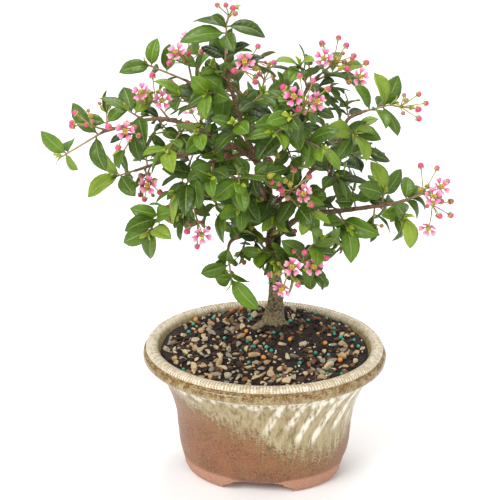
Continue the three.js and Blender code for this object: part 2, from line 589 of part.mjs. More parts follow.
// A flower: five clawed petals in one dished plate, which runs down into its thin stalk
function flowerSolid(hub, centre, face, draw) {
  const side = squareTo(face);
  const up = new THREE.Vector3().crossVectors(face, side);
  const turn = draw.between(0, 2 * Math.PI);
  const spot = (angle, radius, rise) => centre.clone()
    .addScaledVector(side, radius * Math.cos(angle))
    .addScaledVector(up, radius * Math.sin(angle))
    .addScaledVector(face, rise);
  const rim = [];
  for (let petal = 0; petal < PETAL_COUNT; petal += 1) {
    const middle = turn + (petal * 2 * Math.PI) / PETAL_COUNT;
    rim.push(
      spot(middle - Math.PI / PETAL_COUNT, CLAW_RADIUS, 0.2),
      spot(middle - PETAL_HALF_ANGLE, FLOWER_RADIUS, FLOWER_DISH),
      spot(middle + PETAL_HALF_ANGLE, FLOWER_RADIUS, FLOWER_DISH),
    );
  }
  const start = pedicelStart(hub, centre);
  const way = centre.clone().sub(start).normalize();
  const beside = side.clone().addScaledVector(way, -side.dot(way)).normalize();
  const corners = [
    ...rim, ...rim.map((p) => p.clone().addScaledVector(face, -PETAL_THICKNESS)), spot(0, 0, 0.6),
    ...ringAround(spot(0, 0, -1.4), face, side, PEDICEL_RADIUS, 3, turn - 0.66),
    ...ringAround(start, way, beside, PEDICEL_RADIUS, 3, turn - 0.66),
  ];
  const count = rim.length;
  const middle = 2 * count;
  const neck = middle + 1;
  const foot = neck + 3;
  const triangles = [[foot, foot + 2, foot + 1]];
  for (let i = 0; i < count; i += 1) {
    const next = (i + 1) % count;
    const nearest = neck + (Math.round(((i + 0.5) * 3) / count) % 3);
    triangles.push([middle, i, next], [i + count, next + count, next], [i + count, next, i]);
    triangles.push([nearest, next + count, i + count]);
  }
  for (let i = 0; i < 3; i += 1) {
    const next = (i + 1) % 3;
    const seam = Math.floor((i + 0.5) * (count / 3)) + count;
    triangles.push([neck + i, neck + next, seam]);
    triangles.push([foot + i, foot + next, neck + next], [foot + i, neck + next, neck + i]);
  }
  return solidOf(corners, triangles);
}

function budSolid(hub, centre) {
  const along = centre.clone().sub(hub).normalize();
  const side = squareTo(along);
  const at = (step) => centre.clone().addScaledVector(along, step * BUD_RADIUS);
  return loft([
    ringAround(pedicelStart(hub, centre), along, side, PEDICEL_RADIUS, 3),
    ringAround(at(-1.1), along, side, PEDICEL_RADIUS, 3),
    ringAround(at(-0.42), along, side, BUD_RADIUS, 3),
    ringAround(at(0.62), along, side, BUD_RADIUS * 0.86, 3, -Math.PI / 3),
  ]);
}

// The stalk of an umbel, which swells at its end into the hub
function stalkSolid(start, startWay, hub) {
  const way = hub.clone().sub(start).normalize();
  const side = squareTo(startWay);
  const beside = side.clone().addScaledVector(way, -side.dot(way)).normalize();
  const at = (step) => hub.clone().addScaledVector(way, step * HUB_RADIUS);
  return loft([
    ringAround(start, startWay, side, STEM_TIP_RADIUS, 4),
    ringAround(at(-1.7), way, beside, STEM_TIP_RADIUS, 4),
    ringAround(at(-0.7), way, beside, HUB_RADIUS, 4),
    ringAround(at(0.9), way, beside, HUB_RADIUS, 4),
  ]);
}

// Where a cluster's stalk starts: on a spur of wood, or at the tip of a shoot
function stalkStart(row) {
  if (row.limb) {
    const { end, along } = spurOf(row.limb, row.at, inTree(row.umbels[0].hub));
    return { start: end.clone().addScaledVector(along, SEAT_GAP), along };
  }
  const bearer = SHOOTS.find((shoot) => shoot.name === row.shoot);
  const { line } = spurOf(bearer.limb, bearer.at, inTree(bearer.tip));
  const along = line.getTangent(1).normalize();
  return { start: line.getPoint(1).addScaledVector(along, SEAT_GAP * 2), along };
}

function clusterSolid(row) {
  const draw = new Draw(row.seed);
  let { start, along } = stalkStart(row);
  const solids = [];
  for (const umbel of row.umbels) {
    const hub = inTree(umbel.hub);
    solids.push(stalkSolid(start, along, hub));
    for (const place of umbel.flowers) {
      const centre = inTree(place);
      const face = centre.clone().sub(hub).normalize()
        .add(inTree([draw.between(-0.3, 0.3), -0.25, draw.between(-0.1, 0.4)])).normalize();
      solids.push(flowerSolid(hub, centre, face, draw));
    }
    for (const place of umbel.buds) {
      solids.push(budSolid(hub, inTree(place)));
    }
    along = hub.clone().sub(start).normalize();
    start = hub;
  }
  return joined(solids);
}

// Each solid becomes a named mesh
const FINISHES = {
  pot: { color: 0xcdb98f, roughness: 0.3, metalness: 0 },
  soil: { color: 0x2f221b, roughness: 1, metalness: 0 },
  wood: { color: 0x77604d, roughness: 0.85, metalness: 0 },
  leaf: { color: 0x47781f, roughness: 0.45, metalness: 0 },
  flower: { color: 0xe87aae, roughness: 0.6, metalness: 0 },
};

function meshOf(name, solid, finish) {
  const { vertProperties, triVerts } = solid.getMesh();
  const geometry = new THREE.BufferGeometry();
  geometry.setAttribute('position', new THREE.BufferAttribute(new Float32Array(vertProperties), 3));
  geometry.setIndex(new THREE.BufferAttribute(new Uint32Array(triVerts), 1));
  const material = new THREE.MeshStandardMaterial({ ...FINISHES[finish], flatShading: true });
  const mesh = new THREE.Mesh(geometry, material);
  mesh.name = name;
  return mesh;
}

const tree = new THREE.Group();
tree.add(meshOf('pot', potSolid(), 'pot'));
tree.add(meshOf('potting_mix', soilSolid(rootHoleSolid()), 'soil'));
tree.add(meshOf('tree_wood', woodSolid(), 'wood'));
for (const row of SHOOTS) {
  tree.add(meshOf(`shoot_${row.name}`, shootSolid(row), 'leaf'));
}
for (const row of CLUSTERS) {
  tree.add(meshOf(`flowers_${row.name}`, clusterSolid(row), 'flower'));
}

// The origin is the middle of the underside of the box round the whole object
const box = new THREE.Box3().setFromObject(tree);
tree.position.set(-(box.min.x + box.max.x) / 2, -(box.min.y + box.max.y) / 2, -box.min.z);

export default tree;
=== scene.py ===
"""A Barbados cherry bonsai: a small flowering tree in an oval stoneware pot, for a plain studio picture.

The layout is in millimetres in the pot's own frame, with the front of the pot towards -Y.
"""

import logging
import math
from collections.abc import Callable, Iterable, Sequence
from dataclasses import dataclass, field, replace
from enum import Enum
from functools import cached_property

import bmesh
import bpy
from mathutils import Matrix, Vector, noise
from mathutils.bvhtree import BVHTree
from mathutils.kdtree import KDTree


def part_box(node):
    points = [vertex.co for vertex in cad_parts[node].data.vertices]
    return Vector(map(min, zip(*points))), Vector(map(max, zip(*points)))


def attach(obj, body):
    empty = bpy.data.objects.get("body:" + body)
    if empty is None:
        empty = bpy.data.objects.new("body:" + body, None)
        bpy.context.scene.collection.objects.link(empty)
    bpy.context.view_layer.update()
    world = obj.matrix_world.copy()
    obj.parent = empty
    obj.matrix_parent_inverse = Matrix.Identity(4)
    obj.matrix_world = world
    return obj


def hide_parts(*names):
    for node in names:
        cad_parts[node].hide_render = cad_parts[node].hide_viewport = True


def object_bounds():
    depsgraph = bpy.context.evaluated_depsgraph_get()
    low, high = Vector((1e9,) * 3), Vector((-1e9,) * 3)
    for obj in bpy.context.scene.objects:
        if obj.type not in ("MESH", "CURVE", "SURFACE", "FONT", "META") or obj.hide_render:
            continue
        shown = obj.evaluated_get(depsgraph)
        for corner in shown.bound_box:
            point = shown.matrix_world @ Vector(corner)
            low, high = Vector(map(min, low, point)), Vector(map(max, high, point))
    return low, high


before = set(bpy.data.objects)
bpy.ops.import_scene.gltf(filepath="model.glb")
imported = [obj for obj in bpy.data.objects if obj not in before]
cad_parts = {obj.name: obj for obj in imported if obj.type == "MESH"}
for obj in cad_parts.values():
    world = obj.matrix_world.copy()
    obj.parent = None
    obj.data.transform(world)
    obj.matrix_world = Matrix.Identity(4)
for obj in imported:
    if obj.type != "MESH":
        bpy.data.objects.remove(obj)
CAD_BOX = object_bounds()
log = logging.getLogger("bonsai")
Socket = bpy.types.NodeSocket

MM = 0.001
TREE_TURN = math.radians(6)
CROWN_CENTRE = (-8, 22, 285)

# What several classes share: lengths in millimetres, and shares
LEAF_LENGTH = 27
LEAF_WIDTH_SHARE = 0.52
LEAF_ROOT_DEPTH = 0.35
LAST_PAIR = 0.94
SPUR_REACH = 3.6
HUB_RADIUS = 1.9


@dataclass(frozen=True)
class Shoot:
    """A leafy shoot of this year.

    limb and at say where it leaves the wood and tip where its stem ends. Leaf pairs follow the growth rule,
    and leaves holds single ones as (place along the stem, tip right, tip back, tip up).
    """

    name: str
    limb: str
    at: float
    tip: tuple[float, float, float]
    pairs: int
    seed: int
    leaves: tuple[tuple[float, ...], ...] = ()


@dataclass(frozen=True)
class Umbel:
    """One head of a cluster: its hub, its open flowers and its round buds."""

    hub: tuple[float, float, float]
    flowers: tuple[tuple[float, float, float], ...]
    buds: tuple[tuple[float, float, float], ...]


@dataclass(frozen=True)
class Cluster:
    """A flower cluster, borne on a limb at a place along it or on the tip of a shoot."""

    name: str
    bearer: str
    at: float
    seed: int
    umbels: tuple[Umbel, ...]


# The tree's wood as (right, back, up, radius)
TRUNK = (
    (8, 30, 108, 9.5), (8, 30, 120, 10), (9, 30, 131, 7.6), (10, 30, 147, 6.1), (8, 28, 168, 5.2),
    (5, 25, 190, 4.4), (6, 22, 212, 3.8), (4, 20, 235, 3.4), (2, 18, 257, 2.8),
)
# Surface roots: compass angle in degrees, reach, height of the root's middle, thickness
ROOTS = (
    (-142, 28, 120.3, 4.2), (-78, 19, 119, 3.6), (-20, 21, 119, 3.8), (48, 20, 118.5, 3.6),
    (128, 21, 118.5, 3.8),
)
ROOT_START = (8, 30, 127)

# The limbs as (right, back, up, radius); each starts inside the wood that bears it
LIMBS: dict[str, tuple[tuple[float, ...], ...]] = {
    "left_arm": ((2, 18, 253, 2.8), (-7, 10, 272, 2.5), (-26, 0, 289, 2.2), (-51, -6, 304, 1.9),
        (-83, -10, 315, 1.7), (-116, -12, 308, 1.5), (-127, -12, 305, 1.3)),
    "left_mid": ((-25, 0, 288, 1.9), (-55, 12, 279, 1.7), (-85, 18, 268, 1.5), (-103, 20, 261, 1.3)),
    "left_low": ((4, 22, 226, 2.5), (-20, 22, 235, 2.2), (-49, 12, 239, 1.9), (-70, -2, 241, 1.6),
        (-82, -10, 239, 1.3)),
    "upper_left": ((-6, 11, 270, 2.2), (-26, 18, 297, 2), (-46, 24, 317, 1.7), (-62, 24, 335, 1.4)),
    "top": ((-3, 13, 265, 2.4), (-15, 2, 296, 2.2), (-23, -6, 326, 1.9), (-30, -10, 350, 1.7),
        (-31, -10, 359, 1.5)),
    "right_arm": ((2, 18, 253, 2.7), (12, 15, 271, 2.4), (20, 14, 292, 2.1), (26, 18, 311, 1.8),
        (34, 24, 329, 1.6), (42, 26, 338, 1.3)),
    "front_right": ((17, 15, 283, 1.9), (19, -14, 307, 1.7), (25, -38, 328, 1.5), (28, -46, 335, 1.3)),
    "right_low": ((6, 25, 196, 3), (15, 20, 207, 2.6), (28, 14, 221, 2.4), (46, 8, 228, 2.2),
        (67, 2, 233, 2), (90, -2, 238, 1.8), (104, -4, 241, 1.6), (115, -5, 245, 1.4)),
    "right_rise": ((30, 13, 221, 1.9), (48, 16, 246, 1.8), (55, 18, 263, 1.7), (61, 18, 287, 1.6),
        (66, 16, 305, 1.5), (78, 10, 314, 1.3)),
    "low_left": ((5, 25, 195, 2.1), (-12, 12, 206, 1.7), (-27, 0, 207, 1.5), (-30, -8, 200, 1.3)),
    "low_front": ((6, 25, 190, 2.2), (14, 0, 198, 1.9), (24, -18, 200, 1.6), (29, -26, 202, 1.3)),
    "low_right": ((4, 21, 228, 2.2), (14, -2, 246, 1.8), (18, -26, 260, 1.4)),
    "front_mid": ((4, 21, 220, 2.2), (-2, -12, 254, 1.9), (-12, -34, 274, 1.6), (-21, -48, 287, 1.3)),
    "front_left": ((-16, 4, 281, 1.9), (-34, -22, 285, 1.7), (-49, -38, 286, 1.3)),
    "back_left": ((5, 22, 212, 2.5), (-10, 52, 225, 2.1), (-31, 78, 237, 1.8), (-50, 90, 250, 1.4)),
    "back_right": ((6, 22, 216, 2.4), (23, 52, 225, 2.1), (39, 76, 238, 1.8), (48, 86, 252, 1.4)),
    "back_top": ((3, 19, 247, 2.4), (0, 48, 266, 2.1), (-2, 72, 283, 1.8), (-5, 84, 297, 1.4)),
}

# The leafy shoots
SHOOTS = (
    Shoot("left_end", "left_arm", 1, (-160, -14, 285), 0, 1, ((0.04, -152, 2, 324), (0.1, -125, -26, 277),
          (0.95, -177, -8, 304), (0.92, -153, 8, 291), (0.98, -147, -26, 278))),
    Shoot("left_upper", "left_arm", 0.72, (-106, -16, 323), 0, 1, ((0.97, -129, -14, 333),
          (0.25, -93, -36, 301), (0.6, -92, 8, 334), (0.85, -112, 8, 335))),
    Shoot("upper_left_end", "upper_left", 1, (-93, 16, 351), 0, 1, ((0.95, -85, 22, 371),
          (0.98, -115, 8, 347), (0.5, -76, 30, 364), (0.2, -84, 12, 330), (0.7, -90, 36, 341))),
    Shoot("left_mid_end", "left_mid", 1, (-119, 14, 258), 0, 1, ((0.97, -143, 4, 243),
          (0.9, -104, -6, 248), (0.35, -117, 28, 274), (0.96, -130, 26, 272), (0.5, -108, 36, 248))),
    Shoot("left_low_end", "left_low", 1, (-92, -24, 225), 0, 1, ((0.15, -108, -12, 240),
          (0.4, -111, -36, 230), (0.95, -114, -14, 211), (0.97, -74, -42, 226), (0.3, -72, -36, 246),
          (0.8, -92, -22, 200))),
    Shoot("low_twig", "low_left", 1, (-27, -16, 178), 0, 1, ((0.35, -52, -8, 181), (0.93, -40, -34, 189),
          (0.97, -5, -28, 158), (0.2, -29, -34, 214), (0.6, -12, 0, 170))),
    Shoot("top_end", "top", 1, (-30, -12, 393), 0, 1, ((0.06, -50, -6, 372), (0.12, -12, -14, 376),
          (0.78, -66, -14, 378), (0.93, -56, 2, 390), (0.97, 0, -4, 379), (0.75, -24, -36, 377),
          (0.95, -41, -20, 401))),
    Shoot("right_up_end", "right_rise", 1, (99, 6, 321), 0, 1, ((0.82, 86, 14, 345), (0.72, 106, 20, 341),
          (0.72, 104, -14, 302), (0.1, 70, 12, 337), (0.2, 94, -20, 310), (0.45, 98, 30, 315))),
    Shoot("right_up_mid", "right_rise", 0.74, (70, -8, 301), 0, 1, ((0.8, 45, -18, 308),
          (0.93, 55, -20, 284), (0.3, 90, 6, 296), (0.97, 79, -28, 286), (0.7, 88, -14, 302))),
    Shoot("right_low_hang", "right_low", 0.52, (66, -14, 224), 0, 1, ((0.9, 69, -28, 199),
          (0.97, 54, -14, 200), (0.3, 92, -22, 221), (0.6, 46, -30, 232))),
    Shoot("right_low_up", "right_low", 0.76, (95, -9, 252), 0, 1, ((0.95, 84, -4, 277),
          (0.9, 73, -26, 264), (0.7, 110, 8, 266), (0.3, 84, 16, 258))),
    Shoot("right_low_end", "right_low", 0.88, (112, -20, 236), 0, 1, ((0.5, 101, -32, 220),
          (0.9, 102, -36, 254), (0.95, 115, -38, 216), (0.35, 92, -28, 240))),
    Shoot("upper_left_back", "upper_left", 0.8, (-54, 42, 352), 3, 27),
    Shoot("top_front_left", "top", 0.62, (-44, -40, 345), 3, 3),
    Shoot("upper_left_front", "upper_left", 0.5, (-66, -18, 336), 3, 14),
    Shoot("top_right_side", "top", 0.75, (-7, 12, 354), 3, 17),
    Shoot("top_front", "top", 0.42, (-3, -44, 346), 3, 17),
    Shoot("right_crest", "right_arm", 0.8, (27, 6, 354), 3, 29),
    Shoot("right_shoulder", "right_arm", 0.92, (62, 34, 342), 3, 25),
    Shoot("front_high", "front_right", 0.5, (6, -60, 320), 3, 53),
    Shoot("front_high_left", "top", 0.22, (-24, -56, 326), 3, 25),
    Shoot("front_left_high", "left_arm", 0.42, (-52, -54, 318), 3, 14),
    Shoot("left_front", "left_arm", 0.56, (-76, -44, 300), 3, 25),
    Shoot("front_left_low", "front_left", 0.7, (-42, -74, 290), 3, 56),
    Shoot("front_right_mid", "front_right", 0.3, (42, -48, 304), 3, 28),
    Shoot("left_front_low", "front_left", 0.97, (-68, -50, 268), 3, 27),
    Shoot("front_mid_end", "front_mid", 1, (-20, -76, 284), 3, 38),
    Shoot("front_mid_low", "front_mid", 0.5, (-20, -44, 254), 3, 17),
    Shoot("front_right_low", "low_right", 0.8, (32, -40, 246), 3, 33),
    Shoot("right_inner", "right_rise", 0.3, (58, -10, 266), 3, 27),
    Shoot("inner_left_low", "left_low", 0.45, (-30, -16, 236), 3, 36),
    Shoot("low_front_end", "low_front", 0.9, (42, -42, 226), 3, 7),
    Shoot("back_left_high", "upper_left", 0.55, (-60, 66, 312), 3, 25),
    Shoot("back_top_left", "back_top", 0.75, (-30, 90, 318), 3, 20),
    Shoot("back_top_right", "back_top", 0.95, (16, 102, 304), 3, 3),
    Shoot("back_right_high", "right_arm", 0.65, (52, 66, 312), 3, 25),
    Shoot("back_right_end", "back_right", 1, (66, 84, 270), 3, 25),
    Shoot("back_left_end", "back_left", 1, (-72, 94, 262), 3, 19),
    Shoot("back_left_low", "back_left", 0.7, (-28, 112, 240), 3, 25),
    Shoot("back_right_low", "back_right", 0.7, (30, 110, 236), 3, 22),
    Shoot("back_right_side", "right_rise", 0.4, (74, 58, 256), 3, 22),
)

# The flower clusters
CLUSTERS = (
    Cluster("left_tip", "left_arm", 0.96, 1, (Umbel((-136, -18, 312), (), ((-148, -20, 323),
            (-150, -26, 317), (-151, -16, 311))),)),
    Cluster("left_arm", "left_arm", 0.8, 25, (Umbel((-108, -26, 312), ((-108, -40, 315),),
            ((-121, -38, 318), (-114, -38, 301))),)),
    Cluster("left_high", "left_arm", 0.62, 3, (Umbel((-86, -6, 327), ((-96, -14, 338), (-80, -22, 334)),
            ((-88, -6, 349), (-74, -4, 343))),)),
    Cluster("upper_left", "upper_left", 0.9, 13, (Umbel((-61, 18, 352), ((-60, 18, 371), (-69, 8, 363)),
            ((-50, 12, 363), (-75, 4, 356))),)),
    Cluster("left_mid", "left_mid", 0.9, 1, (Umbel((-94, 4, 257), ((-93, -12, 260),), ((-84, -8, 252),
            (-97, -2, 244))),)),
    Cluster("left_low", "left_low", 0.62, 5, (Umbel((-54, -20, 232), ((-50, -36, 227),), ((-62, -34, 229),
            (-54, -34, 216))),)),
    Cluster("front_pair", "front_right", 1, 3, (Umbel((29, -60, 343), ((21, -74, 354), (37, -74, 350)),
            ((13, -62, 357), (25, -62, 366), (46, -62, 356), (35, -58, 361))),)),
    Cluster("right_crest", "right_arm", 1, 4, (Umbel((54, 22, 350), ((46, 10, 358),), ((58, 26, 370),
            (64, 22, 365), (70, 20, 357), (45, 24, 366))), Umbel((66, 14, 346), ((74, 4, 345),),
            ((80, 18, 352), (64, 2, 352))))),
    Cluster("top_mid", "top", 0.82, 2, (Umbel((-17, -22, 358), ((-16, -34, 368),), ((-6, -18, 376),
            (-8, -32, 352), (-24, -36, 362))),)),
    Cluster("top_tip", "top_end", 1, 1, (Umbel((-28, -14, 399), (), ((-25, -17, 406),)),)),
    Cluster("right_up_tip", "right_up_end", 1, 1, (Umbel((107, 4, 320), (), ((122, 12, 328), (127, 4, 323),
            (120, -8, 322), (121, -4, 313))),)),
    Cluster("right_tip", "right_low", 1, 1, (Umbel((127, -8, 251), ((140, -12, 258), (132, -26, 256)),
            ((124, -6, 274), (138, 2, 269), (147, 6, 256))), Umbel((134, -12, 243), ((130, -26, 229),),
            ((150, -2, 242), (149, -12, 234), (139, -24, 238))))),
    Cluster("low_right", "low_right", 1, 4, (Umbel((20, -42, 267), ((28, -56, 270),), ((22, -42, 284),
            (12, -56, 273), (34, -44, 279), (35, -54, 260))),)),
    Cluster("low_front", "low_front", 1, 1, (Umbel((30, -40, 206), ((38, -53, 207), (22, -55, 208)),
            ((48, -48, 212), (31, -50, 218))), Umbel((18, -42, 197), ((14, -52, 188),), ((4, -44, 196),
            (26, -50, 190))))),
    Cluster("back_left", "back_left", 0.9, 5, (Umbel((-52, 98, 268), ((-50, 112, 276), (-62, 100, 284)),
            ((-40, 104, 280), (-66, 112, 270))),)),
    Cluster("back_right", "back_top", 1, 2, (Umbel((0, 92, 314), ((4, 106, 322), (-8, 96, 328)),
            ((8, 90, 330), (-4, 110, 314))),)),
)


def linear(code: str) -> tuple[float, float, float, float]:
    """Turns an sRGB hex colour into the linear values that shaders take.

    Args:
        code: The colour as "#rrggbb".

    Returns:
        Linear red, green, blue and a full alpha.
    """
    values = (int(code[i:i + 2], 16) / 255 for i in (1, 3, 5))
    red, green, blue = (v / 12.92 if v <= 0.04045 else ((v + 0.055) / 1.055) ** 2.4 for v in values)
    return red, green, blue, 1.0


def add_node(
    tree: bpy.types.NodeTree, kind: str, sockets: dict | None = None, stops: Sequence[tuple] = (), **traits,
) -> bpy.types.Node:
    """Adds one shader node with its settings and links.

    Args:
        tree: The material's node tree.
        kind: The node's type name without its "ShaderNode" beginning.
        sockets: Input name or number to a value, or to the socket that feeds it.
        stops: Places and hex colours of a colour ramp.
        traits: Properties of the node itself.

    Returns:
        The new node.
    """
    node = tree.nodes.new("ShaderNode" + kind)
    for trait, value in traits.items():
        setattr(node, trait, value)
    for key, value in (sockets or {}).items():
        if isinstance(value, Socket):
            tree.links.new(value, node.inputs[key])
        elif isinstance(value, str):
            node.inputs[key].default_value = linear(value)
        else:
            node.inputs[key].default_value = value
    for i, (place, code) in enumerate(stops):
        ramp = node.color_ramp.elements
        stop = ramp[i] if i < len(ramp) else ramp.new(place)
        stop.position = place
        stop.color = linear(code)
    return node


def per_metre(size_mm: float) -> float:
    """The texture scale whose features are about this many millimetres apart."""
    return 1 / (size_mm * MM)


def mix(low: float, high: float, share: float) -> float:
    """The value a share of the way from low to high."""
    return low + (high - low) * share


def smooth(low: float, high: float, value: float) -> float:
    """A soft step from 0 at low to 1 at high."""
    share = min(max((value - low) / (high - low), 0.0), 1.0)
    return share * share * (3 - 2 * share)


def along_rows(rows: Sequence[Sequence[float]], place: float) -> list[float]:
    """Reads a table of rows that are sorted by their first value.

    Args:
        rows: Rows of (place, value, value, ...).
        place: Where to read.

    Returns:
        The other values at that place, each on a straight line between its two rows.
    """
    for before, after in zip(rows, rows[1:]):
        if place <= after[0]:
            share = (place - before[0]) / (after[0] - before[0])
            return [mix(a, b, max(share, 0.0)) for a, b in zip(before[1:], after[1:])]
    return list(rows[-1][1:])


def window(bounds: Sequence[float], value: float) -> float:
    """A value that is 1 between the two middle bounds and falls softly to 0 at the outer ones."""
    return smooth(bounds[0], bounds[1], value) * smooth(bounds[3], bounds[2], value)


def bent(rows: Sequence[Sequence[float]], first: int, share: float) -> list[float]:
    """Reads the smooth curve that runs through all the rows of a table.

    Args:
        rows: The rows of numbers.
        first: The row that the place comes after.
        share: How far the place is on the way to the next row.

    Returns:
        The numbers at that place.
    """
    ahead = min(first + 2, len(rows) - 1)
    mixed = []
    for a, b, c, d in zip(rows[max(first - 1, 0)], rows[first], rows[first + 1], rows[ahead]):
        squared, cubed = 2 * a - 5 * b + 4 * c - d, 3 * b - a - 3 * c + d
        mixed.append(0.5 * (2 * b + (c - a) * share + squared * share * share + cubed * share ** 3))
    return mixed


class Draw:
    """Repeatable draws between 0 and 1 from a small whole-number seed."""

    def __init__(self, seed: int) -> None:
        """Starts the draws of a seed."""
        self.state = seed * 7919 + 17
        self.next()

    def next(self) -> float:
        """The next draw."""
        self.state = (1664525 * self.state + 1013904223) % 4294967296
        return self.state / 4294967296

    def between(self, low: float, high: float) -> float:
        """A draw between two values."""
        return low + (high - low) * self.next()

    def turn(self) -> float:
        """A draw round the circle, in radians."""
        return self.between(0, 2 * math.pi)

    def way(self) -> Vector:
        """A draw of a direction in space.

        Returns:
            A direction of length 1.
        """
        up = self.between(-1, 1)
        angle = self.turn()
        flat = math.sqrt(1 - up * up)
        return Vector((flat * math.cos(angle), flat * math.sin(angle), up))


def in_tree(place: Sequence[float]) -> Vector:
    """A point or direction of the tree's own frame (right, back, up), in the pot's frame.

    Args:
        place: The point or direction, of which the first three values are read.

    Returns:
        The same in the pot's frame.
    """
    right, back, up = place[:3]
    return Vector((
        right * math.cos(TREE_TURN) - back * math.sin(TREE_TURN),
        right * math.sin(TREE_TURN) + back * math.cos(TREE_TURN),
        up,
    ))


def square_to(direction: Vector) -> Vector:
    """Any direction square to the given one."""
    aside = Vector((0, 0, 1)) if abs(direction.z) < 0.9 else Vector((1, 0, 0))
    return aside.cross(direction).normalized()


def spoke(axis: Vector, angle: float) -> Vector:
    """The way out from an axis, at an angle round it."""
    side = square_to(axis)
    return side * math.cos(angle) + axis.cross(side) * math.sin(angle)


def ring(centre: Vector, direction: Vector, side: Vector, radius: float, count: int) -> list[Vector]:
    """A round ring of points, square to a direction.

    Args:
        centre: The ring's middle.
        direction: The way it faces.
        side: Where its first point lies.
        radius: Its radius.
        count: How many points.

    Returns:
        The points in order.
    """
    up = direction.cross(side)
    angles = (2 * math.pi * i / count for i in range(count))
    return [centre + side * (radius * math.cos(a)) + up * (radius * math.sin(a)) for a in angles]


def posed(place: Sequence[float], turns: Sequence[tuple[str, float]], sizes: Sequence[float]) -> Matrix:
    """What sizes a shape, turns it and puts it in its place.

    Args:
        place: The place.
        turns: Turns as (axis, angle), the last one first.
        sizes: Its size along each of its own axes.

    Returns:
        The matrix.
    """
    matrix = Matrix.Translation(place)
    for axis, angle in turns:
        matrix = matrix @ Matrix.Rotation(angle, 4, axis)
    return matrix @ Matrix.Diagonal((*sizes, 1))


def new_object(name: str, data: bpy.types.ID) -> bpy.types.Object:
    """A new object, linked into the scene.

    Args:
        name: Its name.
        data: Its mesh, lamp or camera.

    Returns:
        The object.
    """
    made = bpy.data.objects.new(name, data)
    bpy.context.scene.collection.objects.link(made)
    return made


class Surface:
    """Points, faces and the values that go with them, gathered for one mesh."""

    def __init__(self) -> None:
        """Starts with nothing."""
        self.points: list[Vector] = []
        self.faces: list[tuple[int, ...]] = []
        self.slots: list[int] = []
        self.places: list[tuple[float, float]] = []
        self.tones: list[float] = []

    def rings(
        self,
        rings: Sequence[Sequence[Vector]],
        slot: int | Callable[[int], int] = 0,
        tone: float = 0.5,
        places: Sequence[Sequence[tuple[float, float]]] | None = None,
    ) -> None:
        """Joins rings of equal count one to the next and closes both ends.

        Args:
            rings: The rings, each an ordered loop of points.
            slot: The material's number, or what gives it for a place round the ring.
            tone: A value for the whole piece that its colour depends on.
            places: For each point its place on the blade, along and across.
        """
        first = len(self.points)
        count = len(rings[0])
        for k, loop in enumerate(rings):
            self.points += loop
            self.places += places[k] if places else [(k / max(len(rings) - 1, 1), 0.5)] * count
        self.tones += [tone] * (len(rings) * count)
        for k in range(len(rings) - 1):
            for i in range(count):
                here = first + k * count + i
                beside = first + k * count + (i + 1) % count
                self.faces.append((here, beside, beside + count, here + count))
                self.slots.append(slot if isinstance(slot, int) else slot(i))
        last = first + (len(rings) - 1) * count
        self.faces += [tuple(range(first + count - 1, first - 1, -1)), tuple(range(last, last + count))]
        self.slots += [slot if isinstance(slot, int) else slot(0)] * 2

    def tube(
        self,
        line: Sequence[Vector],
        radii: Sequence[float],
        count: int = 6,
        slot: int = 0,
        tone: float = 0.5,
    ) -> None:
        """Adds a tube along a line of points, with its rings kept from twisting.

        Args:
            line: The points of its middle.
            radii: Its radius at each point.
            count: Points round it.
            slot: The material's number.
            tone: A value that its colour depends on.
        """
        side = None
        loops = []
        for k, point in enumerate(line):
            direction = (line[min(k + 1, len(line) - 1)] - line[max(k - 1, 0)]).normalized()
            if side is None:
                side = square_to(direction)
            else:
                side = (side - direction * side.dot(direction)).normalized()
            loops.append(ring(point, direction, side, radii[k], count))
        self.rings(loops, slot, tone)

    def blob(
        self,
        centre: Vector,
        axis: Vector,
        radius: float,
        stretch: float = 1,
        slot: int = 0,
        tone: float = 0.5,
        sides: int = 8,
        levels: int = 5,
        folds: float = 0,
    ) -> None:
        """Adds a small round body.

        Args:
            centre: Its middle.
            axis: The way that it is stretched.
            radius: Its radius square to the axis.
            stretch: Its half length along the axis, as a share of the radius.
            slot: The material's number.
            tone: A value that its colour depends on.
            sides: Points round it.
            levels: Rings along it.
            folds: How deep five folds run down it, as a share of the radius.
        """
        side = square_to(axis)
        up = axis.cross(side)
        loops = []
        for level in range(levels + 1):
            angle = math.pi * mix(0.04, 0.96, level / levels)
            loop = []
            for i in range(sides):
                turn = 2 * math.pi * i / sides
                reach = radius * math.sin(angle) * (1 + folds * math.cos(5 * turn + 2 * angle))
                flat = side * (reach * math.cos(turn)) + up * (reach * math.sin(turn))
                loop.append(centre + flat - axis * (radius * stretch * math.cos(angle)))
            loops.append(loop)
        self.rings(loops, slot, tone)

    def copy_of(self, shape: "Template", matrix: Matrix, tone: float) -> None:
        """Adds a moved copy of a shape.

        Args:
            shape: The points and faces to copy.
            matrix: Where it goes.
            tone: A value that its colour depends on.
        """
        first = len(self.points)
        self.points += [matrix @ p for p in shape.points]
        self.places += [(0.5, 0.5)] * len(shape.points)
        self.tones += [tone] * len(shape.points)
        self.faces += [tuple(first + i for i in face) for face in shape.faces]
        self.slots += [0] * len(shape.faces)

    def add(self, other: "Surface", slots_before: int = 0) -> None:
        """Adds all of another surface.

        Args:
            other: What is added.
            slots_before: How many materials come before its own.
        """
        first = len(self.points)
        self.points += other.points
        self.places += other.places
        self.tones += other.tones
        self.faces += [tuple(first + i for i in face) for face in other.faces]
        self.slots += [slot + slots_before for slot in other.slots]

    def outline(self) -> BVHTree:
        """The faces as a tree that finds what crosses them."""
        return BVHTree.FromPolygons(self.points, self.faces)


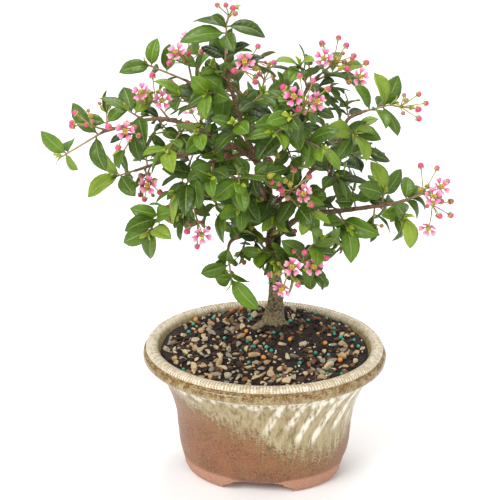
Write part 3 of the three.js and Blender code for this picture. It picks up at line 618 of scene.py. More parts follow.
@dataclass(frozen=True)
class Template:
    """A shape that is copied many times."""

    points: tuple[Vector, ...]
    faces: tuple[tuple[int, ...], ...]

    @staticmethod
    def ball(splits: int) -> "Template":
        """A round ball of equal triangles.

        Args:
            splits: How often its twenty faces are split.

        Returns:
            The ball, with a radius of 1.
        """
        shape = bmesh.new()
        bmesh.ops.create_icosphere(shape, subdivisions=splits, radius=1)
        points = tuple(v.co.copy() for v in shape.verts)
        faces = tuple(tuple(v.index for v in f.verts) for f in shape.faces)
        shape.free()
        return Template(points, faces)

    def broken(self, draw: Draw, cuts: int, depth: float, rough: float) -> "Template":
        """The shape as a broken stone or chip: cut by flat breaks and roughened.

        Args:
            draw: Where the breaks fall.
            cuts: How many breaks.
            depth: How far from the middle the nearest break may lie.
            rough: How uneven its faces are.

        Returns:
            The broken shape.
        """
        breaks = [(draw.way(), draw.between(depth, 0.95)) for _ in range(cuts)]
        offset = draw.way() * 20
        points = []
        for point in self.points:
            moved = point * (1 + 0.18 * noise.noise(point * 0.9 + offset))
            for way, far in breaks:
                moved = moved - way * max(moved.dot(way) - far, 0)
            points.append(moved * (1 + rough * noise.noise(point * 3.1 + offset)))
        return Template(tuple(points), self.faces)


class Bench:
    """Where pieces become Blender objects, in metres, in the frame of the whole object."""

    def __init__(self) -> None:
        """Finds where the pot stands."""
        low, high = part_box("pot")
        self.shift = Vector(((low.x + high.x) / 2, (low.y + high.y) / 2, low.z))

    def lay(self, point: Vector) -> Vector:
        """A point of the pot's frame in millimetres, as a point of the scene in metres."""
        return point * MM + self.shift

    def place(
        self,
        name: str,
        surface: Surface,
        finishes: Sequence["Finish"],
        slot: str,
        stands_for: Iterable[str] = (),
        values: dict[str, Sequence[float]] | None = None,
        break_angle: float = 0,
    ) -> bpy.types.Object:
        """Turns a gathered surface into a finished piece.

        Args:
            name: The piece's name.
            surface: Its points and faces, in millimetres.
            finishes: Its finishes, in the order of their numbers.
            slot: Not used.
            stands_for: The nodes that it replaces.
            values: More values for each point, by name.
            break_angle: Edges that bend more than this many degrees stay sharp, or 0 for none.

        Returns:
            The object.
        """
        mesh = bpy.data.meshes.new(name)
        mesh.from_pydata([self.lay(p) for p in surface.points], [], surface.faces)
        mesh.polygons.foreach_set("material_index", surface.slots)
        mesh.polygons.foreach_set("use_smooth", [True] * len(surface.faces))
        blade = mesh.uv_layers.new(name="blade")
        corners = [surface.places[loop.vertex_index] for loop in mesh.loops]
        blade.data.foreach_set("uv", [value for place in corners for value in place])
        for key, numbers in {"tone": surface.tones, **(values or {})}.items():
            mesh.attributes.new(key, "FLOAT", "POINT").data.foreach_set("value", numbers)
        mesh.update()
        if break_angle:
            mesh.set_sharp_from_angle(angle=math.radians(break_angle))
        piece = new_object(name, mesh)
        for finish in finishes:
            mesh.materials.append(finish.made())
        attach(piece, "root")
        if stands_for:
            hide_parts(*stands_for)
        log.info("%s: %d triangles", name, sum(len(face.vertices) - 2 for face in mesh.polygons))
        return piece


class Web:
    """The web of nodes of one material, and the steps that its pattern is made of."""

    def __init__(self, tree: bpy.types.NodeTree) -> None:
        """Takes the node tree to work in."""
        self.tree = tree

    def node(self, kind: str, *settings: object, **traits: object) -> bpy.types.Node:
        """Adds one node to this web."""
        return add_node(self.tree, kind, *settings, **traits)

    def where(self) -> Socket:
        """The place on the object, in metres."""
        return self.node("TexCoord").outputs["Object"]

    def grain(self, size_mm: float, detail: float = 3, where: object = None) -> Socket:
        """A soft noise over the surface, from 0 to 1.

        Args:
            size_mm: The size of its patches.
            detail: How much finer grain it holds.
            where: Where it is read, if not at the place on the object.

        Returns:
            The noise.
        """
        sockets = {"Vector": where or self.where(), "Scale": per_metre(size_mm), "Detail": detail}
        return self.node("TexNoise", sockets).outputs["Fac"]

    def cells(self, size_mm: float) -> Socket:
        """How far each place is from the middle of the nearest of many small cells."""
        sockets = {"Vector": self.where(), "Scale": per_metre(size_mm)}
        return self.node("TexVoronoi", sockets).outputs["Distance"]

    def step(self, value: object, low: float, high: float, start: float = 0, end: float = 1) -> Socket:
        """A soft step of a value.

        Args:
            value: What is read.
            low: Where the step begins.
            high: Where it ends.
            start: The result at its beginning.
            end: The result at its end.

        Returns:
            The stepped value.
        """
        sockets = {"Value": value, "From Min": low, "From Max": high, "To Min": start, "To Max": end}
        return self.node("MapRange", sockets, interpolation_type="SMOOTHSTEP").outputs[0]

    def calc(self, operation: str, *values: object) -> Socket:
        """One step of arithmetic on sockets and numbers."""
        return self.node("Math", dict(enumerate(values)), operation=operation).outputs[0]

    def times(self, value: object, other: object) -> Socket:
        """The product of two values."""
        return self.calc("MULTIPLY", value, other)

    def scaled(self, value: object, by: object, plus: object) -> Socket:
        """A value times another, plus a third."""
        return self.calc("MULTIPLY_ADD", value, by, plus)

    def blend(self, share: object, under: object, over: object) -> Socket:
        """Lays a share of one colour over another."""
        return self.node("Mix", {0: share, 6: under, 7: over}, data_type="RGBA").outputs[2]

    def ramp(self, value: object, *stops: tuple[float, str]) -> Socket:
        """The colour of a value between stops of (value, colour)."""
        return self.node("ValToRGB", {0: value}, stops).outputs[0]

    def value_of(self, name: str) -> Socket:
        """A value that the mesh holds for each point."""
        return self.node("Attribute", attribute_name=name).outputs["Fac"]

    def blade(self) -> tuple[Socket, Socket]:
        """The place on a leaf or petal: along it and across it, each from 0 to 1."""
        place = self.node("SeparateXYZ", {0: self.node("UVMap", uv_map="blade").outputs[0]})
        return place.outputs[0], place.outputs[1]

    def relief(self, height: object, deep_mm: float) -> Socket:
        """The bump of a height pattern that is this deep."""
        return self.node("Bump", {"Height": height, "Distance": deep_mm * MM}).outputs[0]


@dataclass(frozen=True)
class Finish:
    """What all finishes share: a material that is made once, from a web of its own."""

    name: str = "finish"

    def made(self) -> bpy.types.Material:
        """The material, made on its first use.

        Returns:
            The material.
        """
        known = bpy.data.materials.get(self.name)
        if known:
            return known
        material = bpy.data.materials.new(self.name)
        material.use_nodes = True
        web = Web(material.node_tree)
        web.tree.nodes.clear()
        shader = web.node("BsdfPrincipled", self.look(web))
        web.node("OutputMaterial", {"Surface": shader.outputs[0]})
        return material

    def look(self, web: Web) -> dict:
        """Builds the pattern and gives what goes into the inputs of the shader."""
        raise NotImplementedError


@dataclass(frozen=True)
class LeafSkin(Finish):
    """One face of a leaf: a waxed upper skin or a dull lower one, with its midrib and side veins.

    The waxy upper skin throws broad soft highlights, the lower skin is pale, greyer and matt.
    """

    name: str = "leaf_upper_skin"
    old: str = "#24370a"
    grown: str = "#587a12"
    young: str = "#a6b83a"
    rib: str = "#a3b264"
    side_vein: str = "#738f34"
    rough_low: float = 0.28
    rough_high: float = 0.42
    vein_share: float = 0.3
    vein_height: float = -0.5
    side_veins: int = 7
    vein_lean: float = 0.2

    def look(self, web: Web) -> dict:
        """The leaf's colour by its age, with its veins and its gloss.

        Args:
            web: The material's web.

        Returns:
            What goes into the shader's inputs.
        """
        along, across = web.blade()
        aside = web.calc("ABSOLUTE", web.scaled(across, 2.0, -1.0))
        rib = web.step(aside, 0.02, 0.08, 1, 0)
        leaned = web.scaled(aside, -self.vein_lean, along)
        wave = web.calc("PINGPONG", web.times(leaned, float(self.side_veins)), 0.5)
        fading = web.step(aside, 0.6, 0.95, 1, 0)
        vein = web.times(web.step(wave, 0, 0.1, 1, 0), fading)
        patches = web.grain(9)
        age = web.scaled(patches, 0.35, web.value_of("tone"))
        skin = web.ramp(web.calc("ADD", age, -0.17), (0, self.old), (0.5, self.grown), (1, self.young))
        veined = web.blend(web.times(vein, self.vein_share), skin, self.side_vein)
        colour = web.blend(web.times(rib, 0.6), veined, self.rib)
        fine = web.grain(0.8)
        veins = web.times(web.calc("MAXIMUM", rib, vein), self.vein_height)
        height = web.scaled(fine, 0.12, web.scaled(wave, 0.5, veins))
        return {
            "Base Color": colour,
            "Roughness": web.step(patches, 0.3, 0.7, self.rough_low, self.rough_high),
            "Specular IOR Level": 0.38,
            "Normal": web.relief(height, 0.3),
        }


LEAF_UPPER = LeafSkin()
LEAF_UNDER = LeafSkin(
    "leaf_lower_skin", "#5f7434", "#7c9044", "#a4b258", "#b2ba7e", "#949f62", 0.5, 0.65, 0.3, 0.7,
)


@dataclass(frozen=True)
class Ramped(Finish):
    """A finish whose colour follows each piece's tone, mottled and faintly rough.

    colours run from tone 0 to tone 1; mottle_mm is the size of its patches and grit_mm that of its relief.
    """

    name: str = "ramped"
    colours: tuple[str, ...] = ("#000000", "#ffffff")
    rough: float = 0.6
    mottle_mm: float = 3
    mottle: float = 0.3
    grit_mm: float = 0.5
    relief_mm: float = 0.1
    glow: float = 0.0

    def look(self, web: Web) -> dict:
        """The colour by tone, the mottling and the grit.

        Args:
            web: The material's web.

        Returns:
            What goes into the shader's inputs.
        """
        patches = web.grain(self.mottle_mm)
        tone = web.scaled(patches, self.mottle, web.value_of("tone"))
        centred = web.calc("ADD", tone, -self.mottle / 2)
        stops = tuple((i / (len(self.colours) - 1), code) for i, code in enumerate(self.colours))
        return {
            "Base Color": web.ramp(centred, *stops),
            "Roughness": self.rough,
            "Normal": web.relief(web.grain(self.grit_mm), self.relief_mm),
            "Subsurface Weight": self.glow,
            "Subsurface Scale": MM,
        }


# This year's stem: reddish where it ripens to wood, yellow green where it is soft
YOUNG_STEM = Ramped("young_stem", ("#8a5d49", "#a8906a", "#9fae58"), 0.5, 4, 0.5, 0.6, 0.08)
# Flower stalks are as thin as wire and olive with a red tinge
STALK = Ramped("flower_stalk", ("#8d6a4d", "#a79a52", "#b3bb62"), 0.5, 3, 0.4, 0.5, 0.05)
# Sepals carry swollen oil glands, which look wet and yellow green
SEPAL = Ramped("sepal_glands", ("#a8863f", "#b9b04a", "#a4b653"), 0.35, 1.5, 0.4, 0.4, 0.05, 0.1)
# Anthers are covered in pollen, a dull golden dust
ANTHER = Ramped("anthers", ("#b98a1e", "#dcb233", "#ecd05a"), 0.8, 0.8, 0.6, 0.2, 0.1)
# Round buds ripen from dusty olive to a deep pink
BUD = Ramped("bud_skin", ("#98815a", "#b5605f", "#c63f70", "#dc5c8e"), 0.42, 2, 0.25, 0.9, 0.12, 0.1)
# Crushed pine bark: nearly black when wet, brown where it has dried
BARK_CHIP = Ramped("bark_chip", ("#170f0b", "#2c1d15", "#533725", "#8a6340"), 0.85, 3, 0.35, 0.7, 0.3)
# Quarry grit: fired clay and crushed stone, tan, grey and some orange
GRIT = Ramped(
    "grit_stone", ("#857d70", "#b3a68b", "#d0bb92", "#b1926c", "#caa878"), 0.85, 2.0, 0.5, 0.5, 0.5,
)
# Coated fertiliser has a thin shiny polymer shell
TEAL_PELLET = Ramped("teal_pellet", ("#1f7f69", "#3fae92"), 0.35, 1, 0.4, 0.8, 0.05)
ORANGE_PELLET = Ramped("orange_pellet", ("#c26a1f", "#e39a3f"), 0.45, 1, 0.4, 0.8, 0.08)
# Expanded perlite, a white foam of glass
PERLITE = Ramped("perlite", ("#d8d2c4", "#f3efe6"), 0.9, 1, 0.4, 0.4, 0.15)


@dataclass(frozen=True)
class PetalSkin(Finish):
    """A petal: thin, matt and crinkled, deep pink at its claw and near white pink at its fringe."""

    name: str = "petal_skin"
    claw: str = "#c8447a"
    middle: str = "#e080a4"
    fringe: str = "#f2b9cc"
    vein: str = "#cc5a86"

    def look(self, web: Web) -> dict:
        """The colour from claw to fringe, with fine veins that fan out.

        Args:
            web: The material's web.

        Returns:
            What goes into the shader's inputs.
        """
        along, across = web.blade()
        reach = web.scaled(web.calc("ADD", web.value_of("tone"), -0.5), 0.5, along)
        patched = web.scaled(web.grain(2), 0.3, web.calc("ADD", reach, -0.15))
        skin = web.ramp(patched, (0, self.claw), (0.4, self.claw), (0.62, self.middle), (1, self.fringe))
        fan = web.calc("PINGPONG", web.times(across, 9.0), 0.5)
        lines = web.times(web.step(fan, 0, 0.14, 1, 0), 0.3)
        crinkle = web.scaled(web.grain(0.9), 0.6, fan)
        return {
            "Base Color": web.blend(lines, skin, self.vein),
            "Roughness": 0.62,
            "Sheen Weight": 0.15,
            "Subsurface Weight": 0.15,
            "Subsurface Scale": MM,
            "Normal": web.relief(crinkle, 0.15),
        }


@dataclass(frozen=True)
class BarkSkin(Finish):
    """Bark: grey brown, pebbled and cracked on the trunk, smooth and redder with pale dots on twigs.

    The mesh gives the girth in millimetres, and the roots and the foot of the trunk are paler.
    """

    name: str = "bark_skin"
    crack: str = "#463828"
    old: str = "#7c6c4e"
    dry: str = "#aa9c78"
    twig: str = "#8c6a50"
    dot: str = "#c0b08a"
    root: str = "#a3966c"
    plate_mm: float = 2.2
    dot_mm: float = 1.6

    def look(self, web: Web) -> dict:
        """The bark's colour and relief by girth.

        Args:
            web: The material's web.

        Returns:
            What goes into the shader's inputs.
        """
        rough = web.grain(self.plate_mm, 5)
        broad = web.grain(12)
        old = web.ramp(rough, (0.36, self.crack), (0.5, self.old), (0.64, self.dry))
        shaded = web.blend(web.step(broad, 0.35, 0.7, 0, 0.45), old, self.crack)
        thick = web.step(web.value_of("girth"), 1.6, 4.2)
        young = web.blend(web.step(rough, 0.2, 0.55), self.crack, self.twig)
        bark = web.blend(thick, young, shaded)
        dots = web.step(web.cells(self.dot_mm), 0.2, 0.36, 0.8, 0)
        dotted = web.blend(dots, bark, self.dot)
        foot = web.times(web.value_of("foot"), web.step(broad, 0.35, 0.6, 0.05, 0.5))
        grit = web.scaled(dots, 0.9, web.times(rough, 2.0))
        return {
            "Base Color": web.blend(foot, dotted, self.root),
            "Roughness": 0.82,
            "Normal": web.relief(grit, 1.0),
        }


@dataclass(frozen=True)
class Stoneware(Finish):
    """Stoneware with a poured ash glaze.

    The glaze is glossy, beige and milky where it lies thick, breaks to golden brown on the rolls, and thins
    to olive specks over the pink clay lower down. The feet and the underside are bare, matt clay.
    """

    name: str = "stoneware"
    clay: str = "#8e513b"
    clay_dark: str = "#743c2a"
    speck: str = "#8a6a3f"
    dark_speck: str = "#4b4a2e"
    bare_clay: str = "#b98b72"
    olive: str = "#83754a"
    cream: str = "#a3916a"
    pale: str = "#b5a680"
    milk: str = "#ebe4d2"
    gold: str = "#8f6c2c"
    gold_dark: str = "#60431a"
    rim_brown: str = "#a88c5e"
    rim_cream: str = "#cdc0a2"
    centre: tuple[float, float] = (0, 0)
    half_length: float = 0.096
    half_width: float = 0.082
    speck_mm: float = 1.3
    run_mm: float = 3.2
    run_stretch: float = 0.13
    fade_mm: float = 9
    fray_mm: float = 42
    sag_mm: float = 30
    ribs: int = 234
    rib_waver: float = 7

    def look(self, web: Web) -> dict:
        """Clay, glaze, runs, rolls, comb marks and bare feet, one over the other.

        Args:
            web: The material's web.

        Returns:
            What goes into the shader's inputs.
        """
        long_way = web.node("Mapping", {"Vector": web.where(), "Scale": (1, 1, self.run_stretch)}).outputs[0]
        run = web.grain(self.run_mm, 3.0, long_way)
        fine = web.grain(self.speck_mm, 4)
        above = web.value_of("glaze")
        cover = self.cover(web, above, fine, run)
        glaze_skin = web.scaled(fine, 0.24, web.times(run, 0.76))
        glaze = web.ramp(glaze_skin, (0.36, self.olive), (0.46, self.cream), (0.64, self.pale))
        glazed = web.blend(cover, self.speckled_clay(web, above, fine), glaze)
        spotted = self.spotted(web, above, glazed)
        thick = web.times(web.value_of("milk"), web.step(run, 0.3, 0.62))
        milky = web.blend(thick, spotted, self.milk)
        golden = self.golden(web, fine, milky)
        comb = self.comb(web)
        combed = self.combed(web, fine, comb, golden)
        bare = web.value_of("bare")
        foot = web.blend(web.step(fine, 0.4, 0.65, 0, 0.35), self.bare_clay, self.clay)
        gloss = web.scaled(cover, -0.22, 0.42)
        height = web.scaled(comb, 0.7, web.scaled(fine, 0.3, cover))
        return {
            "Base Color": web.blend(bare, combed, foot),
            "Roughness": web.scaled(bare, 0.35, gloss),
            "Normal": web.relief(height, 0.25),
        }

    def speckled_clay(self, web: Web, above: Socket, fine: Socket) -> Socket:
        """Clay under a breath of glaze, with specks that crowd towards the glaze's edge.

        Args:
            web: The material's web.
            above: How far the place is above that edge.
            fine: The finest grain.

        Returns:
            The colour.
        """
        clay = web.blend(web.step(web.grain(16), 0.35, 0.7), self.clay_dark, self.clay)
        crowded = web.calc("ADD", fine, web.step(above, -30, 4, 0, 0.09))
        return web.blend(web.step(crowded, 0.46, 0.54, 0, 0.85), clay, self.speck)

    def cover(self, web: Web, above: Socket, fine: Socket, run: Socket) -> Socket:
        """How much of the clay the glaze covers: its edge is frayed by specks and sags in runs.

        Args:
            web: The material's web.
            above: How far the place is above the glaze's edge.
            fine: The finest grain.
            run: The long grain of the runs.

        Returns:
            The cover, from 0 to 1.
        """
        frayed = web.scaled(web.calc("ADD", fine, -0.5), self.fray_mm, above)
        edge = web.scaled(web.calc("ADD", run, -0.5), self.sag_mm, frayed)
        return web.step(edge, -self.fade_mm, self.fade_mm)

    def spotted(self, web: Web, above: Socket, under: Socket) -> Socket:
        """Dark olive spots where the glaze thins out.

        Args:
            web: The material's web.
            above: How far the place is above the glaze's edge.
            under: The colour that they lie on.

        Returns:
            The colour.
        """
        thinning = web.times(web.step(above, -16, -2), web.step(above, 16, 4))
        spots = web.step(web.grain(2.2, 2), 0.6, 0.66, 0, 0.8)
        return web.blend(web.times(spots, thinning), under, self.dark_speck)

    def golden(self, web: Web, fine: Socket, under: Socket) -> Socket:
        """Golden brown where the glaze is thin over the rolls, broken by patches.

        Args:
            web: The material's web.
            fine: The finest grain.
            under: The colour that shows through.

        Returns:
            The colour.
        """
        broken = web.step(web.scaled(fine, 0.6, web.grain(5)), 0.68, 0.95, 1, 0.3)
        brown = web.blend(web.step(fine, 0.42, 0.6), self.gold_dark, self.gold)
        return web.blend(web.times(web.value_of("gold"), broken), under, brown)

    def comb(self, web: Web) -> Socket:
        """The comb marks that run across the rim, as waves from -1 to 1.

        Args:
            web: The material's web.

        Returns:
            The waves.
        """
        centred = web.node("Mapping", {
            "Vector": web.where(),
            "Location": (-self.centre[0] / self.half_length, -self.centre[1] / self.half_width, 0),
            "Scale": (1 / self.half_length, 1 / self.half_width, 1),
        })
        flat = web.node("SeparateXYZ", {0: centred.outputs[0]})
        turned = web.times(web.calc("ARCTAN2", flat.outputs[1], flat.outputs[0]), float(self.ribs))
        waver = web.scaled(web.grain(7), self.rib_waver, turned)
        return web.times(web.calc("SINE", waver), web.value_of("combed"))

    def combed(self, web: Web, fine: Socket, comb: Socket, under: Socket) -> Socket:
        """The rim: milky crests between the comb marks on a worn tan bed.

        Args:
            web: The material's web.
            fine: The finest grain.
            comb: The comb marks.
            under: The colour off the rim.

        Returns:
            The colour.
        """
        worn = web.scaled(web.grain(4), 2.4, web.times(comb, 0.42))
        bed = web.blend(web.step(fine, 0.4, 0.62, 0.2, 0.8), self.rim_brown, self.rim_cream)
        crest = web.blend(web.step(worn, 0.95, 1.7, 0, 0.85), bed, self.milk)
        return web.blend(web.value_of("combed"), under, crest)


@dataclass(frozen=True)
class WetMix(Finish):
    """Potting mix between the chips: nearly black, crumbly and matt, with a few pale fibres."""

    name: str = "wet_mix"
    dark: str = "#120b08"
    brown: str = "#33221a"
    fibre: str = "#7a5a3d"

    def look(self, web: Web) -> dict:
        """The mix's colour and its crumbs.

        Args:
            web: The material's web.

        Returns:
            What goes into the shader's inputs.
        """
        crumbs = web.cells(2.2)
        fine = web.grain(1.2, 5)
        earth = web.blend(web.step(fine, 0.35, 0.65), self.dark, self.brown)
        fibres = web.step(web.grain(2.4, 6), 0.62, 0.66, 0, 0.8)
        return {
            "Base Color": web.blend(fibres, earth, self.fibre),
            "Roughness": 0.85,
            "Normal": web.relief(web.scaled(fine, 1.2, crumbs), 1.0),
        }


@dataclass(frozen=True)
class PaperFloor(Finish):
    """The studio's seamless paper: plain, matt and white."""

    name: str = "studio_paper"

    def look(self, web: Web) -> dict:
        """A plain white."""
        return {"Base Color": "#f4f4f4", "Roughness": 0.9, "Specular IOR Level": 0.1}


class Part(Enum):
    """The parts of the pot's profile."""

    INSIDE = "inside"
    RIM = "rim"
    ROLL = "roll"
    WALL = "wall"


@dataclass
class Pot:
    """The oval pot: combed rim, groove, second roll, concave neck, rounded body and four feet.

    Profiles are (half length, height) and the half width is less by narrower. The drain holes go through
    the floor.
    """

    half_length: float = 102
    crest: float = 115
    narrower: float = 14
    sides: int = 480
    glaze_mm: float = 0.35
    floor_underside: float = 8
    floor_top: float = 17
    drain_radius: float = 7
    drain_offset: float = 30
    # A foot's ends, in degrees round the oval, and its rows as (height, outer and inner half length, and by
    # how many degrees its ends are drawn in)
    foot_ends: tuple[float, float] = (23, 66)
    foot_rows: tuple[tuple[float, float, float, float], ...] = (
        (0, 64.6, 51.0, 4.6), (0.5, 66.0, 49.8, 3.6), (1.4, 66.8, 49.2, 2.8), (3.5, 67.8, 48.7, 1.2),
        (5.5, 68.6, 48.5, -1.2), (7.5, 69.1, 48.2, -5), (9.5, 68.2, 48, -7), (11.5, 67.2, 48, -7),
        (16, 66, 50, -7),
    )
    foot_steps: int = 26
    # The way back along a foot's inner side: the share of the way to its ends, and how far out it lies
    foot_back: tuple[tuple[float, float], ...] = (
        (0.985, 0.725), (0.94, 0.5), (0.86, 0.1), (0.7, 0), (0.35, 0), (0, 0), (-0.35, 0), (-0.7, 0),
        (-0.86, 0.1), (-0.94, 0.5), (-0.985, 0.725),
    )
    # The wall swells out to meet the feet: in which corner angles, up to which height, its half length at
    # the underside and its slope
    foot_window: tuple[float, ...] = (8, 22, 66, 82)
    foot_blend: float = 20
    foot_reach: float = 69.4
    foot_slope: float = 0.19
    # Milky runs: how many would go round the pot, their lean in degrees for each millimetre up, and the
    # directions in which they show, in degrees from the right-hand end
    stripes: float = 28
    stripe_lean: float = 0.34
    milk_front: tuple[float, ...] = (264, 284, 330, 352)
    milk_back: tuple[float, ...] = (20, 50, 80, 110)
    milk_back_share: float = 0.7
    # The milky band under the second roll: its scallops, the height of its foot and those where it fades out
    scallops: int = 33
    scallop_depth: float = 3
    drip_span: tuple[float, float, float] = (90, 100, 101.2)
    # Height of the glaze's lower edge round the pot, by degrees from the right-hand end
    glaze_line: tuple[tuple[float, float], ...] = (
        (0, 52), (30, 47), (60, 56), (90, 64), (120, 58), (150, 70), (180, 84), (205, 88), (225, 82),
        (245, 74), (262, 63), (280, 50), (300, 38), (322, 32), (340, 42), (360, 52),
    )
    # Where soft steps begin and end: gold over the roll as (share, low, high), gold under the rim, comb
    # marks up the rim and out from its inner edge, and bare clay, which reaches higher at the feet
    gold_roll: tuple[tuple[float, float, float], ...] = ((0.45, 99.8, 101.4), (0.55, 102.6, 105.4))
    gold_rim: tuple[float, float] = (112.6, 110.4)
    rim_outside: float = 95
    combed_height: tuple[float, float] = (110.2, 111.6)
    combed_reach: tuple[float, float] = (88.4, 91)
    bare_edge: tuple[float, float] = (10, 8.8)
    bare_at_feet: float = 4.5
    inside_glaze_end: float = 90
    # The profile from the underside over the rim to the floor
    rows: tuple[tuple[Part, tuple[tuple[float, float], ...]], ...] = (
        (Part.WALL, (
            (62.4, 8), (64.6, 8.5), (67, 10.4), (69.3, 14), (71.6, 20), (73, 28), (73.8, 38), (74.6, 49),
            (76, 58), (78.4, 67), (81.6, 76), (85.4, 85), (89.2, 92.5), (92.4, 97),
        )),
        (Part.ROLL, (
            (95.4, 99.4), (98.6, 100.4), (101.2, 102), (102.4, 104.4), (102.2, 106.8), (100.9, 108.6),
        )),
        (Part.RIM, (
            (99.4, 109.3), (99.3, 110.2), (99.6, 111.6), (98.9, 113.4), (97.2, 114.6), (94.8, 115),
            (92.4, 114.6), (90.4, 113.3), (89.2, 111.4),
        )),
        (Part.INSIDE, ((88.4, 109), (85.4, 104), (80, 94), (72.5, 60), (64.5, 23), (59, 17))),
    )

    def glaze_edge(self, turn: float) -> float:
        """The height of the glaze's lower edge in a direction.

        Args:
            turn: The direction, in radians from the right-hand end.

        Returns:
            The height in millimetres.
        """
        degrees = math.degrees(turn) % 360
        height = along_rows(self.glaze_line, degrees)[0]
        around = Vector((math.cos(turn), math.sin(turn), 0))
        return height + 5 * noise.noise(around * 4.1) + 4 * noise.noise(around * 11)

    def on_foot(self, turn: float) -> float:
        """How far a direction belongs to a foot, from 0 to 1."""
        corner = 90 - abs((math.degrees(turn) % 180) - 90)
        return window(self.foot_window, corner)

    def profile(self) -> list[tuple[float, float, Part]]:
        """The pot's whole profile with rounded bends, from the underside over the rim to the floor.

        Returns:
            Its places as (half length, height, part).
        """
        rows = [(*place, part) for part, places in self.rows for place in places]
        places = [row[:2] for row in rows]
        fine = []
        for k in range(len(rows) - 1):
            here, after = rows[k], rows[k + 1]
            steps = 3 if here[2] is not Part.INSIDE else 2
            if here[2] is Part.WALL and after[1] - here[1] > 6:
                steps = 6
            for step in range(steps):
                reach, height = bent(places, k, step / steps)
                fine.append((min(reach, self.half_length), min(height, self.crest), here[2]))
        fine.append(rows[-1])
        return fine

    def dress_point(self, turn: float, reach: float, height: float, part: Part) -> dict[str, float]:
        """What the glaze does at a point of the pot.

        Args:
            turn: The point's direction.
            reach: The profile's half length there.
            height: Its height.
            part: Which part of the profile it is on.

        Returns:
            The values that the finish reads, by name.
        """
        if part is Part.INSIDE:
            bare = 0 if height > self.inside_glaze_end else 1
            return {"glaze": 40, "milk": 0, "gold": 0.2, "combed": 0, "bare": bare}
        gold = 0.0
        if part is Part.ROLL:
            gold = sum(share * smooth(low, high, height) for share, low, high in self.gold_roll)
        elif part is Part.RIM and reach > self.rim_outside:
            gold = smooth(*self.gold_rim, height)
        higher = self.bare_at_feet * self.on_foot(turn)
        return {
            "glaze": height - self.glaze_edge(turn),
            "milk": max(self.run(turn, height), self.drip(turn, height)),
            "gold": gold,
            "combed": smooth(*self.combed_height, height) * smooth(*self.combed_reach, reach),
            "bare": smooth(self.bare_edge[0] + higher, self.bare_edge[1] + higher, height),
        }

    def run(self, turn: float, height: float) -> float:
        """How milky the slanting runs on the right-hand side are at a place.

        Args:
            turn: The place's direction.
            height: Its height.

        Returns:
            From 0 for none to 1.
        """
        degrees = math.degrees(turn) % 360
        around = Vector((math.cos(turn), math.sin(turn), 0))
        lean = degrees - (height - 60) * self.stripe_lean
        stripe = 0.5 + 0.5 * math.sin(math.radians(lean * self.stripes) + 3.2 * noise.noise(around * 3.3))
        shown = max(window(self.milk_front, degrees), window(self.milk_back, degrees) * self.milk_back_share)
        length = 10 + 14 * noise.noise(Vector((round(lean * self.stripes / 360), 5.5, 0.5)))
        foot = self.glaze_edge(turn) + length
        return smooth(0.4, 0.85, stripe) * shown * window((foot, foot + 12, 95, 97.5), height)

    def drip(self, turn: float, height: float) -> float:
        """How milky the scalloped band under the second roll is at a place.

        Args:
            turn: The place's direction.
            height: Its height.

        Returns:
            From 0 for none to 1 or more.
        """
        around = Vector((math.cos(turn), math.sin(turn), 0))
        wave = self.scallop_depth * math.sin(turn * self.scallops)
        scallop = self.drip_span[0] + wave + 5 * noise.noise(around * 9)
        top = self.drip_span[1] + 0.8 * noise.noise(around * 17)
        worn = smooth(0.0, 0.4, noise.noise(around * 5.7 + Vector((0, 0, 3)))) * 0.5
        return window((scallop, scallop + 4, top, self.drip_span[2]), height) * (0.85 + worn)

    def body(self) -> tuple[Surface, dict[str, list[float]]]:
        """The pot without its feet, and what its glaze does at each point.

        Returns:
            The surface, and the values by name.
        """
        surface = Surface()
        values: dict[str, list[float]] = {"glaze": [], "milk": [], "gold": [], "combed": [], "bare": []}
        loops = []
        turns = [2 * math.pi * i / self.sides for i in range(self.sides)]
        for reach, height, part in self.profile():
            loop = []
            for turn in turns:
                dressed = self.dress_point(turn, reach, height, part)
                for key, value in dressed.items():
                    values[key].append(value)
                uneven = 0.25 * noise.noise(Vector((math.cos(turn) * 6, math.sin(turn) * 6, height * 0.08)))
                grown = reach - self.glaze_mm + uneven
                if part is Part.WALL:
                    grown += self.glaze_mm * smooth(-2, 2, dressed["glaze"]) * (1 - dressed["bare"])
                if part is Part.WALL and height < self.foot_blend:
                    flush = self.foot_reach + (height - self.floor_underside) * self.foot_slope
                    grown += max(flush - grown, 0) * self.on_foot(turn)
                loop.append(self.on_oval(turn, grown, height))
            loops.append(loop)
        surface.rings(loops)
        return surface, values

    def foot(self, surface: Surface, sign: tuple[int, int]) -> None:
        """Adds one foot: a piece of the wall carried down to a flat sole, with arched ends.

        Args:
            surface: Where it goes.
            sign: Which corner.
        """
        first, last = self.foot_ends
        middle = (first + last) / 2
        corners = [(2 * k / self.foot_steps - 1, 1.0) for k in range(self.foot_steps + 1)]
        corners += self.foot_back
        loops = []
        for height, outer, inner, draw_in in self.foot_rows:
            half = (last - first) / 2 - draw_in
            loop = []
            for share, out in corners:
                spot = self.on_oval(math.radians(middle + half * share), mix(inner, outer, out), height)
                loop.append(Vector((sign[0] * spot.x, sign[1] * spot.y, height)))
            loops.append(loop if sign[0] * sign[1] > 0 else loop[::-1])
        surface.rings(loops)

    def on_oval(self, turn: float, reach: float, height: float) -> Vector:
        """A point on one of the pot's ovals.

        Args:
            turn: Its direction.
            reach: The oval's half length.
            height: Its height.

        Returns:
            The point.
        """
        return Vector((reach * math.cos(turn), (reach - self.narrower) * math.sin(turn), height))

